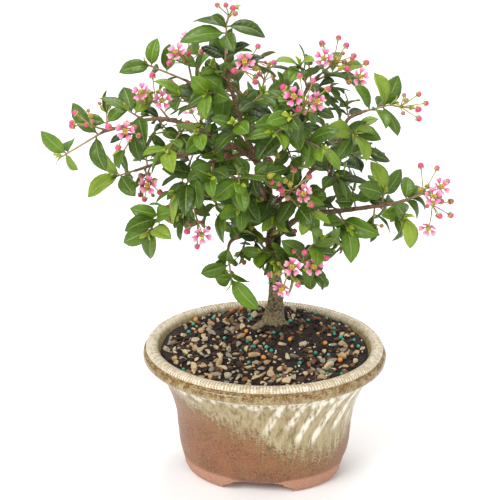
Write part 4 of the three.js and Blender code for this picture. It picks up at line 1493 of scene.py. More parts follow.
    def build(self, bench: Bench) -> bpy.types.Object:
        """Builds the pot with its drain holes and dresses it in its glaze.

        Args:
            bench: Where it goes.

        Returns:
            The finished pot.
        """
        surface, values = self.body()
        for sign in ((1, 1), (1, -1), (-1, 1), (-1, -1)):
            self.foot(surface, sign)
        added = len(surface.points) - len(values["glaze"])
        for key, value in {"glaze": -40, "milk": 0, "gold": 0, "combed": 0, "bare": 1}.items():
            values[key] += [value] * added
        finish = Stoneware(centre=(bench.shift.x, bench.shift.y))
        pot = bench.place("glazed_pot", surface, [finish], "pot", ["pot"], values)
        for side in (-1, 1):
            self.drill(pot, bench, side)
        return pot

    def drill(self, pot: bpy.types.Object, bench: Bench, side: int) -> None:
        """Cuts one drain hole through the floor.

        Args:
            pot: The pot.
            bench: Where the pot stands.
            side: Which hole, -1 or 1.
        """
        shape = bmesh.new()
        height = (self.floor_top - self.floor_underside + 10) * MM
        radius = self.drain_radius * MM
        bmesh.ops.create_cone(
            shape, cap_ends=True, segments=40, radius1=radius, radius2=radius, depth=height,
        )
        middle = Vector((side * self.drain_offset, 0, (self.floor_top + self.floor_underside) / 2))
        bmesh.ops.translate(shape, vec=bench.lay(middle), verts=shape.verts)
        mesh = bpy.data.meshes.new("drill")
        shape.to_mesh(mesh)
        shape.free()
        drill = new_object("drill", mesh)
        cut = pot.modifiers.new("drain", "BOOLEAN")
        cut.object = drill
        cut.operation = "DIFFERENCE"
        cut.solver = "EXACT"
        apply_modifiers(pot)
        bpy.data.objects.remove(drill)
        bpy.data.meshes.remove(mesh)


def apply_modifiers(piece: bpy.types.Object) -> None:
    """Replaces a piece's mesh by what its modifiers make of it.

    Args:
        piece: The piece.
    """
    bpy.context.view_layer.update()
    state = bpy.context.evaluated_depsgraph_get()
    mesh = bpy.data.meshes.new_from_object(
        piece.evaluated_get(state), preserve_all_data_layers=True, depsgraph=state,
    )
    old = piece.data
    piece.modifiers.clear()
    piece.data = mesh
    mesh.name = old.name
    bpy.data.meshes.remove(old)


@dataclass(frozen=True)
class Grains:
    """One kind of small round grain: how many lie on the mix, how far apart, their radius and unevenness."""

    name: str
    finish: Finish
    count: int
    apart: float
    radius: float
    uneven: float


@dataclass
class PottingMix:
    """The bark mix in the pot: its crumbly top and what lies on it.

    On it lie bark chips, grit stones, white perlite and coated fertiliser in two colours.
    """

    edge_height: float = 108.5
    mound: float = 12.5
    spread: float = 46
    half: tuple[float, float] = (86.2, 72.2)
    rings: int = 64
    sides: int = 280
    crumb: float = 0.9
    set_stones: int = 7
    stones: int = 300
    stone_sizes: tuple[float, float] = (5.9, 1.2)
    stone_falloff: float = 0.38
    chips: int = 900
    # A chip's least length and what a draw adds to it, and how strongly small and dark ones prevail
    chip_length: tuple[float, float] = (1.4, 3.4)
    chip_falloff: float = 1.8
    clear_of_trunk: float = 12
    # A stone's length, width and height span these shares of its size, and from one size on it is finer
    stone_spans: tuple[tuple[float, float], ...] = ((0.95, 1.35), (0.6, 0.9), (0.45, 0.75))
    fine_from: float = 2.6
    # The oval in which the larger set stones lie
    set_half: tuple[float, float] = (84, 70)
    set_sizes: tuple[float, float] = (3.2, 5.6)
    draws_skipped: int = 24
    grains: tuple[Grains, ...] = (
        Grains("teal_pellets", TEAL_PELLET, 32, 1.5, 1.6, 0),
        Grains("orange_pellets", ORANGE_PELLET, 8, 2.0, 2.1, 0.08),
        Grains("perlite_grains", PERLITE, 34, 0.8, 0.8, 0.2),
    )
    walls: tuple[tuple[float, float], ...] = ((58.6, 17.4), (64.1, 23.4), (79.6, 94.4))

    @cached_property
    def foot(self) -> Vector:
        """The middle of the trunk's foot."""
        return in_tree((ROOT_START[0], ROOT_START[1], 0))

    @staticmethod
    def in_oval(half: Sequence[float], turn: float, out: float) -> tuple[float, float]:
        """The place in an oval that lies in a direction and a share of the way out."""
        return half[0] * out * math.cos(turn), half[1] * out * math.sin(turn)

    def height(self, x: float, y: float) -> float:
        """The height of the mix at a place, without its crumbs.

        Args:
            x: The place to the right.
            y: The place to the back.

        Returns:
            The height in millimetres.
        """
        away = math.hypot(x - self.foot.x, y - self.foot.y) / self.spread
        ripple = 0.7 * math.sin(x * 0.11 + 1) * math.cos(y * 0.13)
        return self.edge_height + self.mound * math.exp(-away * away) + ripple

    def crumbly(self, x: float, y: float) -> float:
        """The height with its crumbs and hollows.

        Args:
            x: The place to the right.
            y: The place to the back.

        Returns:
            The height in millimetres.
        """
        here = Vector((x, y, 0))
        crumbs = noise.noise(here * 0.45) + 0.6 * noise.noise(here * 1.1)
        return self.height(x, y) + self.crumb * crumbs - 0.4

    def ground(self) -> Surface:
        """The mix as one closed body that fills the pot.

        Returns:
            The body.
        """
        surface = Surface()
        turns = [2 * math.pi * i / self.sides for i in range(self.sides)]
        narrower = self.half[0] - self.half[1]
        loops = [
            [Vector((reach * math.cos(t), (reach - narrower) * math.sin(t), height)) for t in turns]
            for reach, height in self.walls
        ]
        for k in range(self.rings):
            share = 1 - k / self.rings
            loop = []
            for turn in turns:
                x = self.half[0] * share * math.cos(turn) + self.foot.x * (1 - share)
                y = self.half[1] * share * math.sin(turn) + self.foot.y * (1 - share)
                loop.append(Vector((x, y, self.crumbly(x, y) if k else self.height(x, y))))
            loops.append(loop)
        surface.rings(loops)
        return surface

    def crowding(self, x: float, y: float, out: float) -> float:
        """How thickly stones lie at a place: most at the left, at the front and along the edge."""
        left, front = smooth(40, -40, x), smooth(20, -40, y)
        return 0.06 + 0.3 * left + 0.42 * front + 0.22 * smooth(0.6, 0.95, out)

    def spots(
        self, draw: Draw, count: int, apart: float, taken: list[tuple[Vector, float]], crowded: bool = False,
    ) -> list[Vector]:
        """Finds free places on the mix.

        Args:
            draw: Where the places fall.
            count: How many are wanted.
            apart: The radius that each keeps free.
            taken: Places that are taken, with their radii. The new ones are added.
            crowded: Whether they gather where stones lie thickest.

        Returns:
            The places, on the surface.
        """
        found = []
        for _ in range(count * 12):
            if len(found) == count:
                break
            turn, out = draw.turn(), math.sqrt(draw.next()) * (0.99 - apart / 90)
            x, y = self.in_oval(self.half, turn, out)
            spot = Vector((x, y, 0))
            if crowded and draw.next() > self.crowding(x, y, out):
                continue
            if (spot - self.foot).length < self.clear_of_trunk + apart:
                continue
            if any((spot - other).length < apart + radius for other, radius in taken):
                continue
            taken.append((spot, apart))
            found.append(Vector((x, y, self.height(x, y))))
        return found

    def grit(self, fine: Template, coarse: Template, taken: list[tuple[Vector, float]]) -> Surface:
        """The grit stones: the larger set ones and the scattered ones, mostly small.

        Args:
            fine: A round ball to break into the larger stones.
            coarse: A round ball of fewer faces for the small ones.
            taken: Places that are taken. The new ones are added.

        Returns:
            The stones.
        """
        surface = Surface()
        draw = Draw(11)
        places = []
        for _ in range(self.set_stones):
            angle = draw.turn()
            out = math.sqrt(draw.between(0.05, 0.78))
            x, y = self.in_oval(self.set_half, angle, out)
            size = draw.between(*self.set_sizes)
            # These draws aren't used, and leaving them out would move the stones that follow
            for _ in range(self.draws_skipped):
                draw.next()
            places.append((Vector((x, y, self.height(x, y) + size * 0.2)), size * 1.02))
            taken.append((Vector((x, y, 0)), size * 0.8))
        draw = Draw(5)
        for k in range(self.stones):
            size = mix(*self.stone_sizes, (k / self.stones) ** self.stone_falloff)
            for spot in self.spots(draw, 1, size * 0.74, taken, True):
                places.append((spot + Vector((0, 0, size * 0.35)), size))
        for place, size in places:
            turns = (("Z", draw.turn()), ("X", draw.between(-0.5, 0.5)))
            sizes = [size * draw.between(*span) for span in self.stone_spans]
            stone = (fine if size > self.fine_from else coarse).broken(draw, 10, 0.32, 0.12)
            surface.copy_of(stone, posed(place, turns, sizes), draw.next())
        return surface

    def litter(self, ball: Template, taken: list[tuple[Vector, float]]) -> Surface:
        """The bark chips, which lie at all angles and overlap.

        Args:
            ball: A coarse ball to break into chips.
            taken: Places that are taken by stones.

        Returns:
            The chips.
        """
        surface = Surface()
        draw = Draw(23)
        for _ in range(self.chips):
            turn, out = draw.turn(), math.sqrt(draw.next()) * 0.975
            x, y = self.in_oval(self.half, turn, out)
            spot = Vector((x, y, 0))
            length = self.chip_length[0] + self.chip_length[1] * draw.next() ** self.chip_falloff
            tone = 0.05 + 0.95 * draw.next() ** self.chip_falloff
            way, tilt, tip = draw.turn(), draw.between(-0.7, 0.7), draw.between(-0.5, 0.5)
            sides = (draw.between(0.35, 0.75), draw.between(0.2, 0.45))
            if (spot - self.foot).length < self.clear_of_trunk - 2:
                continue
            if any((spot - other).length < radius * 0.8 for other, radius in taken):
                continue
            place = (x, y, self.height(x, y) + 0.25 + 0.1 * length)
            sizes = (length, length * sides[0], length * sides[1])
            matrix = posed(place, (("Z", way), ("X", tilt), ("Y", tip)), sizes)
            surface.copy_of(ball.broken(draw, 6, 0.6, 0.15), matrix, tone)
        return surface

    def beads(self, kind: Grains, ball: Template, draw: Draw, spots: Sequence[Vector]) -> Surface:
        """Small round grains that lie on the mix.

        Args:
            kind: Which grains.
            ball: The shape that they start from.
            draw: What makes each a little different.
            spots: Where they lie.

        Returns:
            The grains.
        """
        surface = Surface()
        for spot in spots:
            size = kind.radius * draw.between(0.85, 1.12)
            shape = ball.broken(draw, 3, 0.75, kind.uneven) if kind.uneven else ball
            place = spot + Vector((0, 0, size * 0.8))
            surface.copy_of(shape, posed(place, [("X", draw.turn())], [size] * 3), draw.next())
        return surface

    def build(self, bench: Bench) -> None:
        """Builds the mix and everything that lies on it.

        Args:
            bench: Where the pieces go.
        """
        bench.place("bark_mix", self.ground(), [WetMix()], "soil", ["potting_mix"])
        taken: list[tuple[Vector, float]] = []
        fine, coarse = Template.ball(3), Template.ball(2)
        bench.place("grit_stones", self.grit(fine, coarse, taken), [GRIT], "soil", break_angle=28)
        draw = Draw(31)
        found = [self.spots(draw, kind.count, kind.apart, taken) for kind in self.grains]
        for kind, spots in zip(self.grains, found):
            bench.place(kind.name, self.beads(kind, coarse, draw, spots), [kind.finish], "soil")
        bench.place("bark_chips", self.litter(coarse, taken), [BARK_CHIP], "soil", break_angle=28)


@dataclass(frozen=True)
class Spur:
    """The straight line that a side growth follows from its limb to its tip.

    share is how much of it is wood, end is where the wood stops and along is its direction.
    """

    root: Vector
    tip: Vector
    share: float

    @property
    def along(self) -> Vector:
        """Its direction."""
        return (self.tip - self.root).normalized()

    @property
    def end(self) -> Vector:
        """Where the wood stops."""
        return self.at(self.share)

    def at(self, share: float) -> Vector:
        """A point a share of the way to the tip."""
        return self.root.lerp(self.tip, share)


@dataclass
class TreeWood:
    """Roots, trunk, limbs, twigs and spurs, grown together and covered in bark."""

    grain_mm: float = 0.72
    flare: float = 1.3
    smoothing: int = 2
    trunk_sides: int = 20
    limb_sides: int = 10
    step_mm: float = 2.5
    spur_radius: float = 1.15
    node_spacing: tuple[float, float] = (11, 15)
    node_swell: float = 0.28
    # Ridges are deeper on thicker wood: by this share of its radius, up to a radius, and at least so deep
    ridge_share: float = 0.075
    full_ridges: float = 7
    ridge_least: float = 0.04
    # The heights between which the foot of the trunk turns pale
    pale_foot: tuple[float, float] = (136, 122)
    root_wander: float = 1.6
    # A root's points as (share of its reach, height, share of its radius): the first in the trunk at a
    # height of its own, the others by how far they are above or below the height that the root lies at
    root_start: tuple[float, float, float] = (0.05, 129, 0.85)
    root_rows: tuple[tuple[float, float, float], ...] = (
        (0.28, 1.6, 0.85), (0.5, -0.6, 0.8), (0.68, -1.4, 0.74), (0.8, -2.6, 0.7), (1, -8, 0.5),
    )
    # Each point of the wood's middle lines, with the radius there
    centres: list[tuple[Vector, float]] = field(default_factory=list)

    @staticmethod
    def limb_point(name: str, at: float) -> tuple[Vector, float]:
        """A place on a limb.

        Args:
            name: The limb.
            at: The share of its points.

        Returns:
            The point and the limb's radius there.
        """
        rows = LIMBS[name]
        place = at * (len(rows) - 1)
        first = min(int(place), len(rows) - 2)
        mixed = [mix(a, b, place - first) for a, b in zip(rows[first], rows[first + 1])]
        return in_tree(mixed), mixed[3]

    @classmethod
    def spur(cls, limb: str, at: float, tip: Vector) -> Spur:
        """The line of a side growth that leaves a limb.

        Args:
            limb: The limb.
            at: Where it leaves it.
            tip: Where the growth ends.

        Returns:
            The line.
        """
        point, radius = cls.limb_point(limb, at)
        reach = SPUR_REACH if at == 1 else SPUR_REACH + radius
        return Spur(point, tip, reach / (tip - point).length)

    def curve(self, rows: Sequence[Sequence[float]]) -> tuple[list[Vector], list[float]]:
        """A smooth line through a limb's points, with its radii.

        Args:
            rows: The limb's points.

        Returns:
            Close points along it and the radius at each.
        """
        line, radii = [], []
        for k in range(len(rows) - 1):
            run = (Vector(rows[k + 1][:3]) - Vector(rows[k][:3])).length
            steps = max(int(run / self.step_mm), 2)
            for step in range(steps + (1 if k == len(rows) - 2 else 0)):
                mixed = bent(rows, k, step / steps)
                line.append(in_tree(mixed))
                radii.append(mixed[3])
        return line, radii

    def knotted(
        self, line: Sequence[Vector], radii: Sequence[float], seed: int, collar: bool,
    ) -> list[float]:
        """Swells a limb a little at its nodes, and at the collar where it leaves its parent.

        Args:
            line: Its middle.
            radii: Its even radii.
            seed: What places the nodes.
            collar: Whether it has a collar.

        Returns:
            The swollen radii.
        """
        draw = Draw(seed)
        spacing, phase = draw.between(*self.node_spacing), draw.next()
        gone, swollen = 0.0, []
        for k, radius in enumerate(radii):
            gone += (line[k] - line[k - 1]).length if k else 0
            node = max(math.cos(2 * math.pi * (gone / spacing + phase)), 0) ** 6
            foot = math.exp(-((gone / (radius * 2.2)) ** 2)) * (self.flare - 1) if collar else 0
            swollen.append(radius * (1 + foot) + self.node_swell * node * (1 if radius < 4 else 0.5))
        return swollen

    def skeleton(self, spurs: Sequence[Spur]) -> Surface:
        """All the wood as tubes that run into each other.

        Args:
            spurs: The side growths that leave the limbs.

        Returns:
            The tubes.
        """
        surface = Surface()
        line, radii = self.curve(TRUNK)
        surface.tube(line, self.knotted(line, radii, 3, False), self.trunk_sides)
        self.centres += zip(line, radii)
        for seed, rows in enumerate(LIMBS.values()):
            line, radii = self.curve(rows)
            surface.tube(line, self.knotted(line, radii, seed + 10, True), self.limb_sides)
            self.centres += zip(line, radii)
        for row in ROOTS:
            line, radii = self.curve(self.root(*row))
            surface.tube(line, radii, self.limb_sides)
            self.centres += [(p, r * 2) for p, r in zip(line, radii)]
        for spur in spurs:
            surface.tube([spur.root, spur.end], [self.spur_radius * 1.2, self.spur_radius], 8)
            self.centres.append((spur.end, self.spur_radius))
        return surface

    def root(self, compass: float, reach: float, height: float, radius: float) -> list[tuple[float, ...]]:
        """A surface root, which wanders a little, lies on the mix and dives into it.

        Args:
            compass: Its direction in degrees.
            reach: How far it goes.
            height: The height that it lies at.
            radius: Its radius.

        Returns:
            Its points, as a limb's.
        """
        angle = math.radians(compass)
        lying = ((share, height + up, thick) for share, up, thick in self.root_rows)
        points = []
        for share, up, thick in (self.root_start, *lying):
            wander = self.root_wander * math.sin(share * 5 + compass) * share
            points.append((
                ROOT_START[0] + math.cos(angle) * reach * share - math.sin(angle) * wander,
                ROOT_START[1] + math.sin(angle) * reach * share + math.cos(angle) * wander,
                up,
                radius * thick,
            ))
        return points

    def ridged(self, point: Vector, normal: Vector, girth: float) -> Vector:
        """Moves a point of the bark out or in by its ridges and pits.

        Args:
            point: The point, in millimetres.
            normal: The way out.
            girth: The wood's radius there.

        Returns:
            The moved point.
        """
        coarse = noise.noise(Vector((point.x * 0.35, point.y * 0.35, point.z * 0.16)))
        fine = noise.noise(point * 0.8)
        deep = min(girth, self.full_ridges) * self.ridge_share + self.ridge_least
        return point + normal * (deep * (coarse * 1.3 + fine * 1.2))

    def build(self, bench: Bench, spurs: Sequence[Spur]) -> bpy.types.Object:
        """Grows the tubes into one skin and dresses it in bark.

        Args:
            bench: Where the wood goes.
            spurs: The side growths that leave the limbs.

        Returns:
            The finished wood.
        """
        surface = self.skeleton(spurs)
        wood = bench.place("trunk_and_limbs", surface, [BarkSkin()], "wood", ["tree_wood"])
        merge = wood.modifiers.new("grown_together", "REMESH")
        merge.mode = "VOXEL"
        merge.voxel_size = self.grain_mm * MM
        merge.use_smooth_shade = True
        soften = wood.modifiers.new("soften", "SMOOTH")
        soften.iterations = self.smoothing
        soften.factor = 0.5
        apply_modifiers(wood)
        mesh = wood.data
        index = KDTree(len(self.centres))
        for k, (centre, _) in enumerate(self.centres):
            index.insert(centre, k)
        index.balance()
        girths, feet = [], []
        normals = [v.normal.copy() for v in mesh.vertices]
        for vertex, normal in zip(mesh.vertices, normals):
            point = (vertex.co - bench.shift) / MM
            _, nearest, _ = index.find(point)
            girth = self.centres[nearest][1]
            vertex.co = bench.lay(self.ridged(point, normal, girth))
            girths.append(girth)
            feet.append(smooth(*self.pale_foot, point.z + 3 * noise.noise(point * 0.2)))
        for name, values in {"girth": girths, "foot": feet}.items():
            mesh.attributes.new(name, "FLOAT", "POINT").data.foreach_set("value", values)
        mesh.polygons.foreach_set("use_smooth", [True] * len(mesh.polygons))
        mesh.update()
        log.info("%s: %d faces once grown together", wood.name, len(mesh.polygons))
        return wood


@dataclass(frozen=True)
class Leaf:
    """One leaf: where it leaves its stem, its tip, the way its upper face looks, its width and its youth."""

    base: Vector
    tip: Vector
    face: Vector
    width: float
    youth: float = 0.4


@dataclass
class LeafBlade:
    """The shape of a leaf: a short stalk, a folded oval blade that arches along its midrib, a short point.

    rows are (place along the leaf, share of the half width); columns run across the blade.
    """

    thickness: float = 0.35
    stalk_thickness: float = 0.9
    fold: float = 0.42
    round_over: float = 0.3
    arch: float = 0.105
    groove: float = 0.25
    wave: float = 0.06
    rows: tuple[tuple[float, float], ...] = (
        (0, 0.055), (0.06, 0.065), (0.1, 0.2), (0.17, 0.56), (0.28, 0.87), (0.42, 1.0), (0.58, 0.985),
        (0.73, 0.86), (0.85, 0.6), (0.94, 0.28), (1.0, 0.02),
    )
    columns: tuple[float, ...] = (-1, -0.62, -0.2, 0, 0.2, 0.62, 1)

    def add(self, surface: Surface, leaf: Leaf, draw: Draw, slots: tuple[int, int] = (0, 1)) -> None:
        """Adds one leaf as a thin closed body.

        Args:
            surface: Where it goes.
            leaf: The leaf.
            draw: What makes each a little different.
            slots: The numbers of the upper and the lower skin.
        """
        along = leaf.tip - leaf.base
        length = along.length
        along = along / length
        above = (leaf.face - along * leaf.face.dot(along)).normalized()
        across = above.cross(along)
        arch, twist = self.arch * draw.between(0.6, 1.4), draw.between(-0.35, 0.35)
        fold, phase = self.fold * draw.between(0.4, 1.7), draw.turn()
        sway = draw.between(-0.035, 0.035)
        loops, places = [], []
        count = len(self.columns)
        for place, share in self.rows:
            half = leaf.width / 2 * share
            turn = twist * place
            side = across * math.cos(turn) + above * math.sin(turn)
            up = above * math.cos(turn) - across * math.sin(turn)
            bow = length * (arch * 4 * place * (1 - place) + 0.03 * place * (1 - place))
            middle = leaf.base + along * (length * place) + above * bow
            middle = middle + across * (length * sway * math.sin(math.pi * place))
            top, bottom = [], []
            stalk = smooth(0.16, 0.04, place)
            for column in self.columns:
                aside = abs(column)
                ripple = self.wave * aside ** 2 * math.sin(9 * place + phase + (1.3 if column > 0 else 0))
                rise = half * (fold * aside - self.round_over * aside ** 2 + ripple)
                rise -= self.groove * smooth(0.2, 0, aside) * smooth(0, 0.15, place)
                thick = mix(mix(self.thickness, 0.16, aside), self.stalk_thickness, stalk) / 2
                thick *= mix(1, 0.5, smooth(0.9, 1, place))
                spot = middle + side * (half * column) + up * rise
                top.append(spot + up * thick)
                bottom.append(spot - up * (thick * (1 + 0.9 * smooth(0.3, 0, aside))))
            loops.append(top + bottom[::-1])
            row = [(place, (c + 1) / 2) for c in self.columns]
            places.append(row + row[::-1])
        surface.rings(loops, lambda i: slots[0] if i < count else slots[1], leaf.youth, places)


YOUNG_BLADE = LeafBlade(
    rows=((0, 0.08), (0.1, 0.2), (0.25, 0.75), (0.45, 1.0), (0.65, 0.9), (0.85, 0.5), (1.0, 0.03)),
    columns=(-1, -0.45, 0, 0.45, 1), groove=0.15,
)


@dataclass
class Growth:
    """The rules by which leaves stand on a shoot."""

    centre: Vector = field(default_factory=lambda: in_tree(CROWN_CENTRE))
    length: float = LEAF_LENGTH
    # The angle to the stem in radians, the droop, and the span of lengths as shares of the usual
    spread: tuple[float, float] = (0.75, 1.2)
    droop: float = 0.4
    lengths: tuple[float, float] = (0.82, 1.14)
    last_pair_share: float = 0.86
    tuft_lengths: tuple[float, float] = (6, 10.5)

    def facing(self, base: Vector, way: Vector) -> Vector:
        """The way a leaf's upper face looks: up, and out of the crown where the leaf itself is steep.

        Args:
            base: Where the leaf starts.
            way: The way it points.

        Returns:
            The way its upper face looks.
        """
        outward = (base - self.centre).normalized()
        steep = abs(way.z)
        return Vector((0, 0, 1 - 0.6 * steep)) + outward * (0.35 + 0.8 * steep)

    def by_rule(self, line: Spur, pairs: int, seed: int) -> list[Leaf]:
        """Opposite pairs, each a quarter turn on from the last, which spread and droop a little.

        Args:
            line: The shoot's line.
            pairs: How many pairs.
            seed: What makes each shoot different.

        Returns:
            The leaves.
        """
        draw = Draw(seed)
        first_roll = draw.between(0, math.pi)
        leaves = []
        for pair in range(pairs):
            place = line.share + (LAST_PAIR - line.share) * ((pair + 0.55) / (pairs - 0.45))
            along = line.along
            level = square_to(along)
            above = along.cross(level)
            for side in (-1, 1):
                roll = first_roll + pair * math.pi / 2 + draw.between(-0.3, 0.3)
                spread = draw.between(*self.spread) - 0.15 * pair
                way = along * math.cos(spread) + level * (side * math.cos(roll) * math.sin(spread))
                way = way + above * (side * math.sin(roll) * math.sin(spread) * 0.7)
                way.z -= draw.between(0, self.droop)
                way.normalize()
                length = self.length * draw.between(*self.lengths)
                if pair == pairs - 1:
                    length *= self.last_pair_share
                base = line.at(place) + way * LEAF_ROOT_DEPTH
                face = self.facing(base, way)
                face.x += draw.between(-0.3, 0.3)
                face.y += draw.between(-0.45, 0.15)
                width = length * LEAF_WIDTH_SHARE * draw.between(0.9, 1.1)
                leaves.append(Leaf(base, base + way * length, face, width, 0.25 + 0.12 * pair))
        return leaves

    def by_hand(self, line: Spur, rows: Sequence[Sequence[float]]) -> list[Leaf]:
        """Leaves placed one by one, whose upper faces look up and to the front.

        Args:
            line: The shoot's line.
            rows: The leaves as (place along the stem, tip right, tip back, tip up).

        Returns:
            The leaves.
        """
        leaves = []
        for place, *goal in rows:
            tip = in_tree(goal)
            axis = line.at(line.share + (LAST_PAIR - line.share) * place)
            way = (tip - axis).normalized()
            base = axis + way * LEAF_ROOT_DEPTH
            face = self.facing(base, way) + in_tree((0, -0.5, 0))
            width = min((tip - base).length * LEAF_WIDTH_SHARE, 15)
            leaves.append(Leaf(base, tip, face, width, 0.35 + 0.2 * place))
        return leaves

    def tuft(self, line: Spur, draw: Draw) -> list[Leaf]:
        """The small pale leaves that unfold at the end of a shoot.

        Args:
            line: The shoot's line.
            draw: What makes each different.

        Returns:
            The leaves.
        """
        leaves = []
        first = draw.turn()
        for k in range(3):
            aside = spoke(line.along, first + k * 2.3)
            way = (line.along * 0.9 + aside * draw.between(0.35, 0.7) + Vector((0, 0, 0.25))).normalized()
            base = line.at(0.985) + way * LEAF_ROOT_DEPTH
            length = draw.between(*self.tuft_lengths)
            face = self.facing(base, way) - aside * 0.6
            leaves.append(Leaf(base, base + way * length, face, length * draw.between(0.38, 0.5), 1.0))
        return leaves


@dataclass
class LeafyShoots:
    """The leafy shoots of this year, each one piece: a thin ringed stem, its leaves and its young tuft."""

    blade: LeafBlade = field(default_factory=LeafBlade)
    growth: Growth = field(default_factory=Growth)
    stem_radius: float = 0.95
    stem_tip_radius: float = 0.6
    stem_sides: int = 8
    roll: float = 0.72
    # The shoot at the very top has darker, older leaves and no young tuft
    top_shoot: str = "top_end"
    top_age: float = 0.3
    finishes: tuple[Finish, ...] = (LEAF_UPPER, LEAF_UNDER, YOUNG_STEM)

    def stem(self, surface: Surface, line: Spur, slot: int, thickness: float = 1) -> None:
        """Adds a shoot's stem, which is swollen where leaves stand.

        Args:
            surface: Where it goes.
            line: The shoot's line.
            slot: The number of its finish.
            thickness: How thick it is, as a share of the usual.
        """
        steps = 10
        start = line.share - 0.8 / (line.tip - line.root).length
        points, radii = [], []
        for k in range(steps + 1):
            points.append(line.at(mix(start, 1, k / steps)))
            even = mix(self.stem_radius, self.stem_tip_radius, k / steps)
            radii.append(thickness * (even + 0.12 * (k % 3 == 0)))
        surface.tube(points, radii, self.stem_sides, slot, 0.35)

    def shoot(self, row: Shoot) -> Surface:
        """One shoot.

        Args:
            row: Its place and its leaves.

        Returns:
            The shoot.
        """
        surface = Surface()
        line = TreeWood.spur(row.limb, row.at, in_tree(row.tip))
        draw = Draw(row.seed + len(row.name) * 31)
        self.stem(surface, line, 2)
        leaves = self.growth.by_hand(line, row.leaves) + self.growth.by_rule(line, row.pairs, row.seed)
        for leaf in leaves:
            grown = self.varied(leaf, draw)
            if row.name == self.top_shoot:
                grown = replace(grown, youth=grown.youth - self.top_age)
            self.blade.add(surface, grown, draw)
        if row.name != self.top_shoot:
            for leaf in self.growth.tuft(line, draw):
                YOUNG_BLADE.add(surface, leaf, draw)
        return surface

    def varied(self, leaf: Leaf, draw: Draw) -> Leaf:
        """The same leaf, rolled a little about its length and a little older or younger.

        Args:
            leaf: The leaf.
            draw: By how much.

        Returns:
            The changed leaf.
        """
        way = (leaf.tip - leaf.base).normalized()
        face = Matrix.Rotation(draw.between(-self.roll, self.roll), 3, way) @ leaf.face
        return Leaf(leaf.base, leaf.tip, face, leaf.width, leaf.youth + draw.between(-0.3, 0.2))

    def build(self, bench: Bench) -> list[Surface]:
        """Builds every shoot.

        Args:
            bench: Where the pieces go.

        Returns:
            Their surfaces, for what has to keep clear of them.
        """
        grown = []
        for row in SHOOTS:
            surface = self.shoot(row)
            bench.place(f"leaves_{row.name}", surface, self.finishes, "leaf", [f"shoot_{row.name}"])
            grown.append(surface)
        return grown


class Bloom(Enum):
    """The finishes of a flower cluster, in the order of their numbers."""

    PETAL = PetalSkin()
    STALK = STALK
    SEPAL = SEPAL
    ANTHER = ANTHER
    BUD = BUD

    @property
    def number(self) -> int:
        """Its place in the mesh's list of materials."""
        return list(Bloom).index(self)


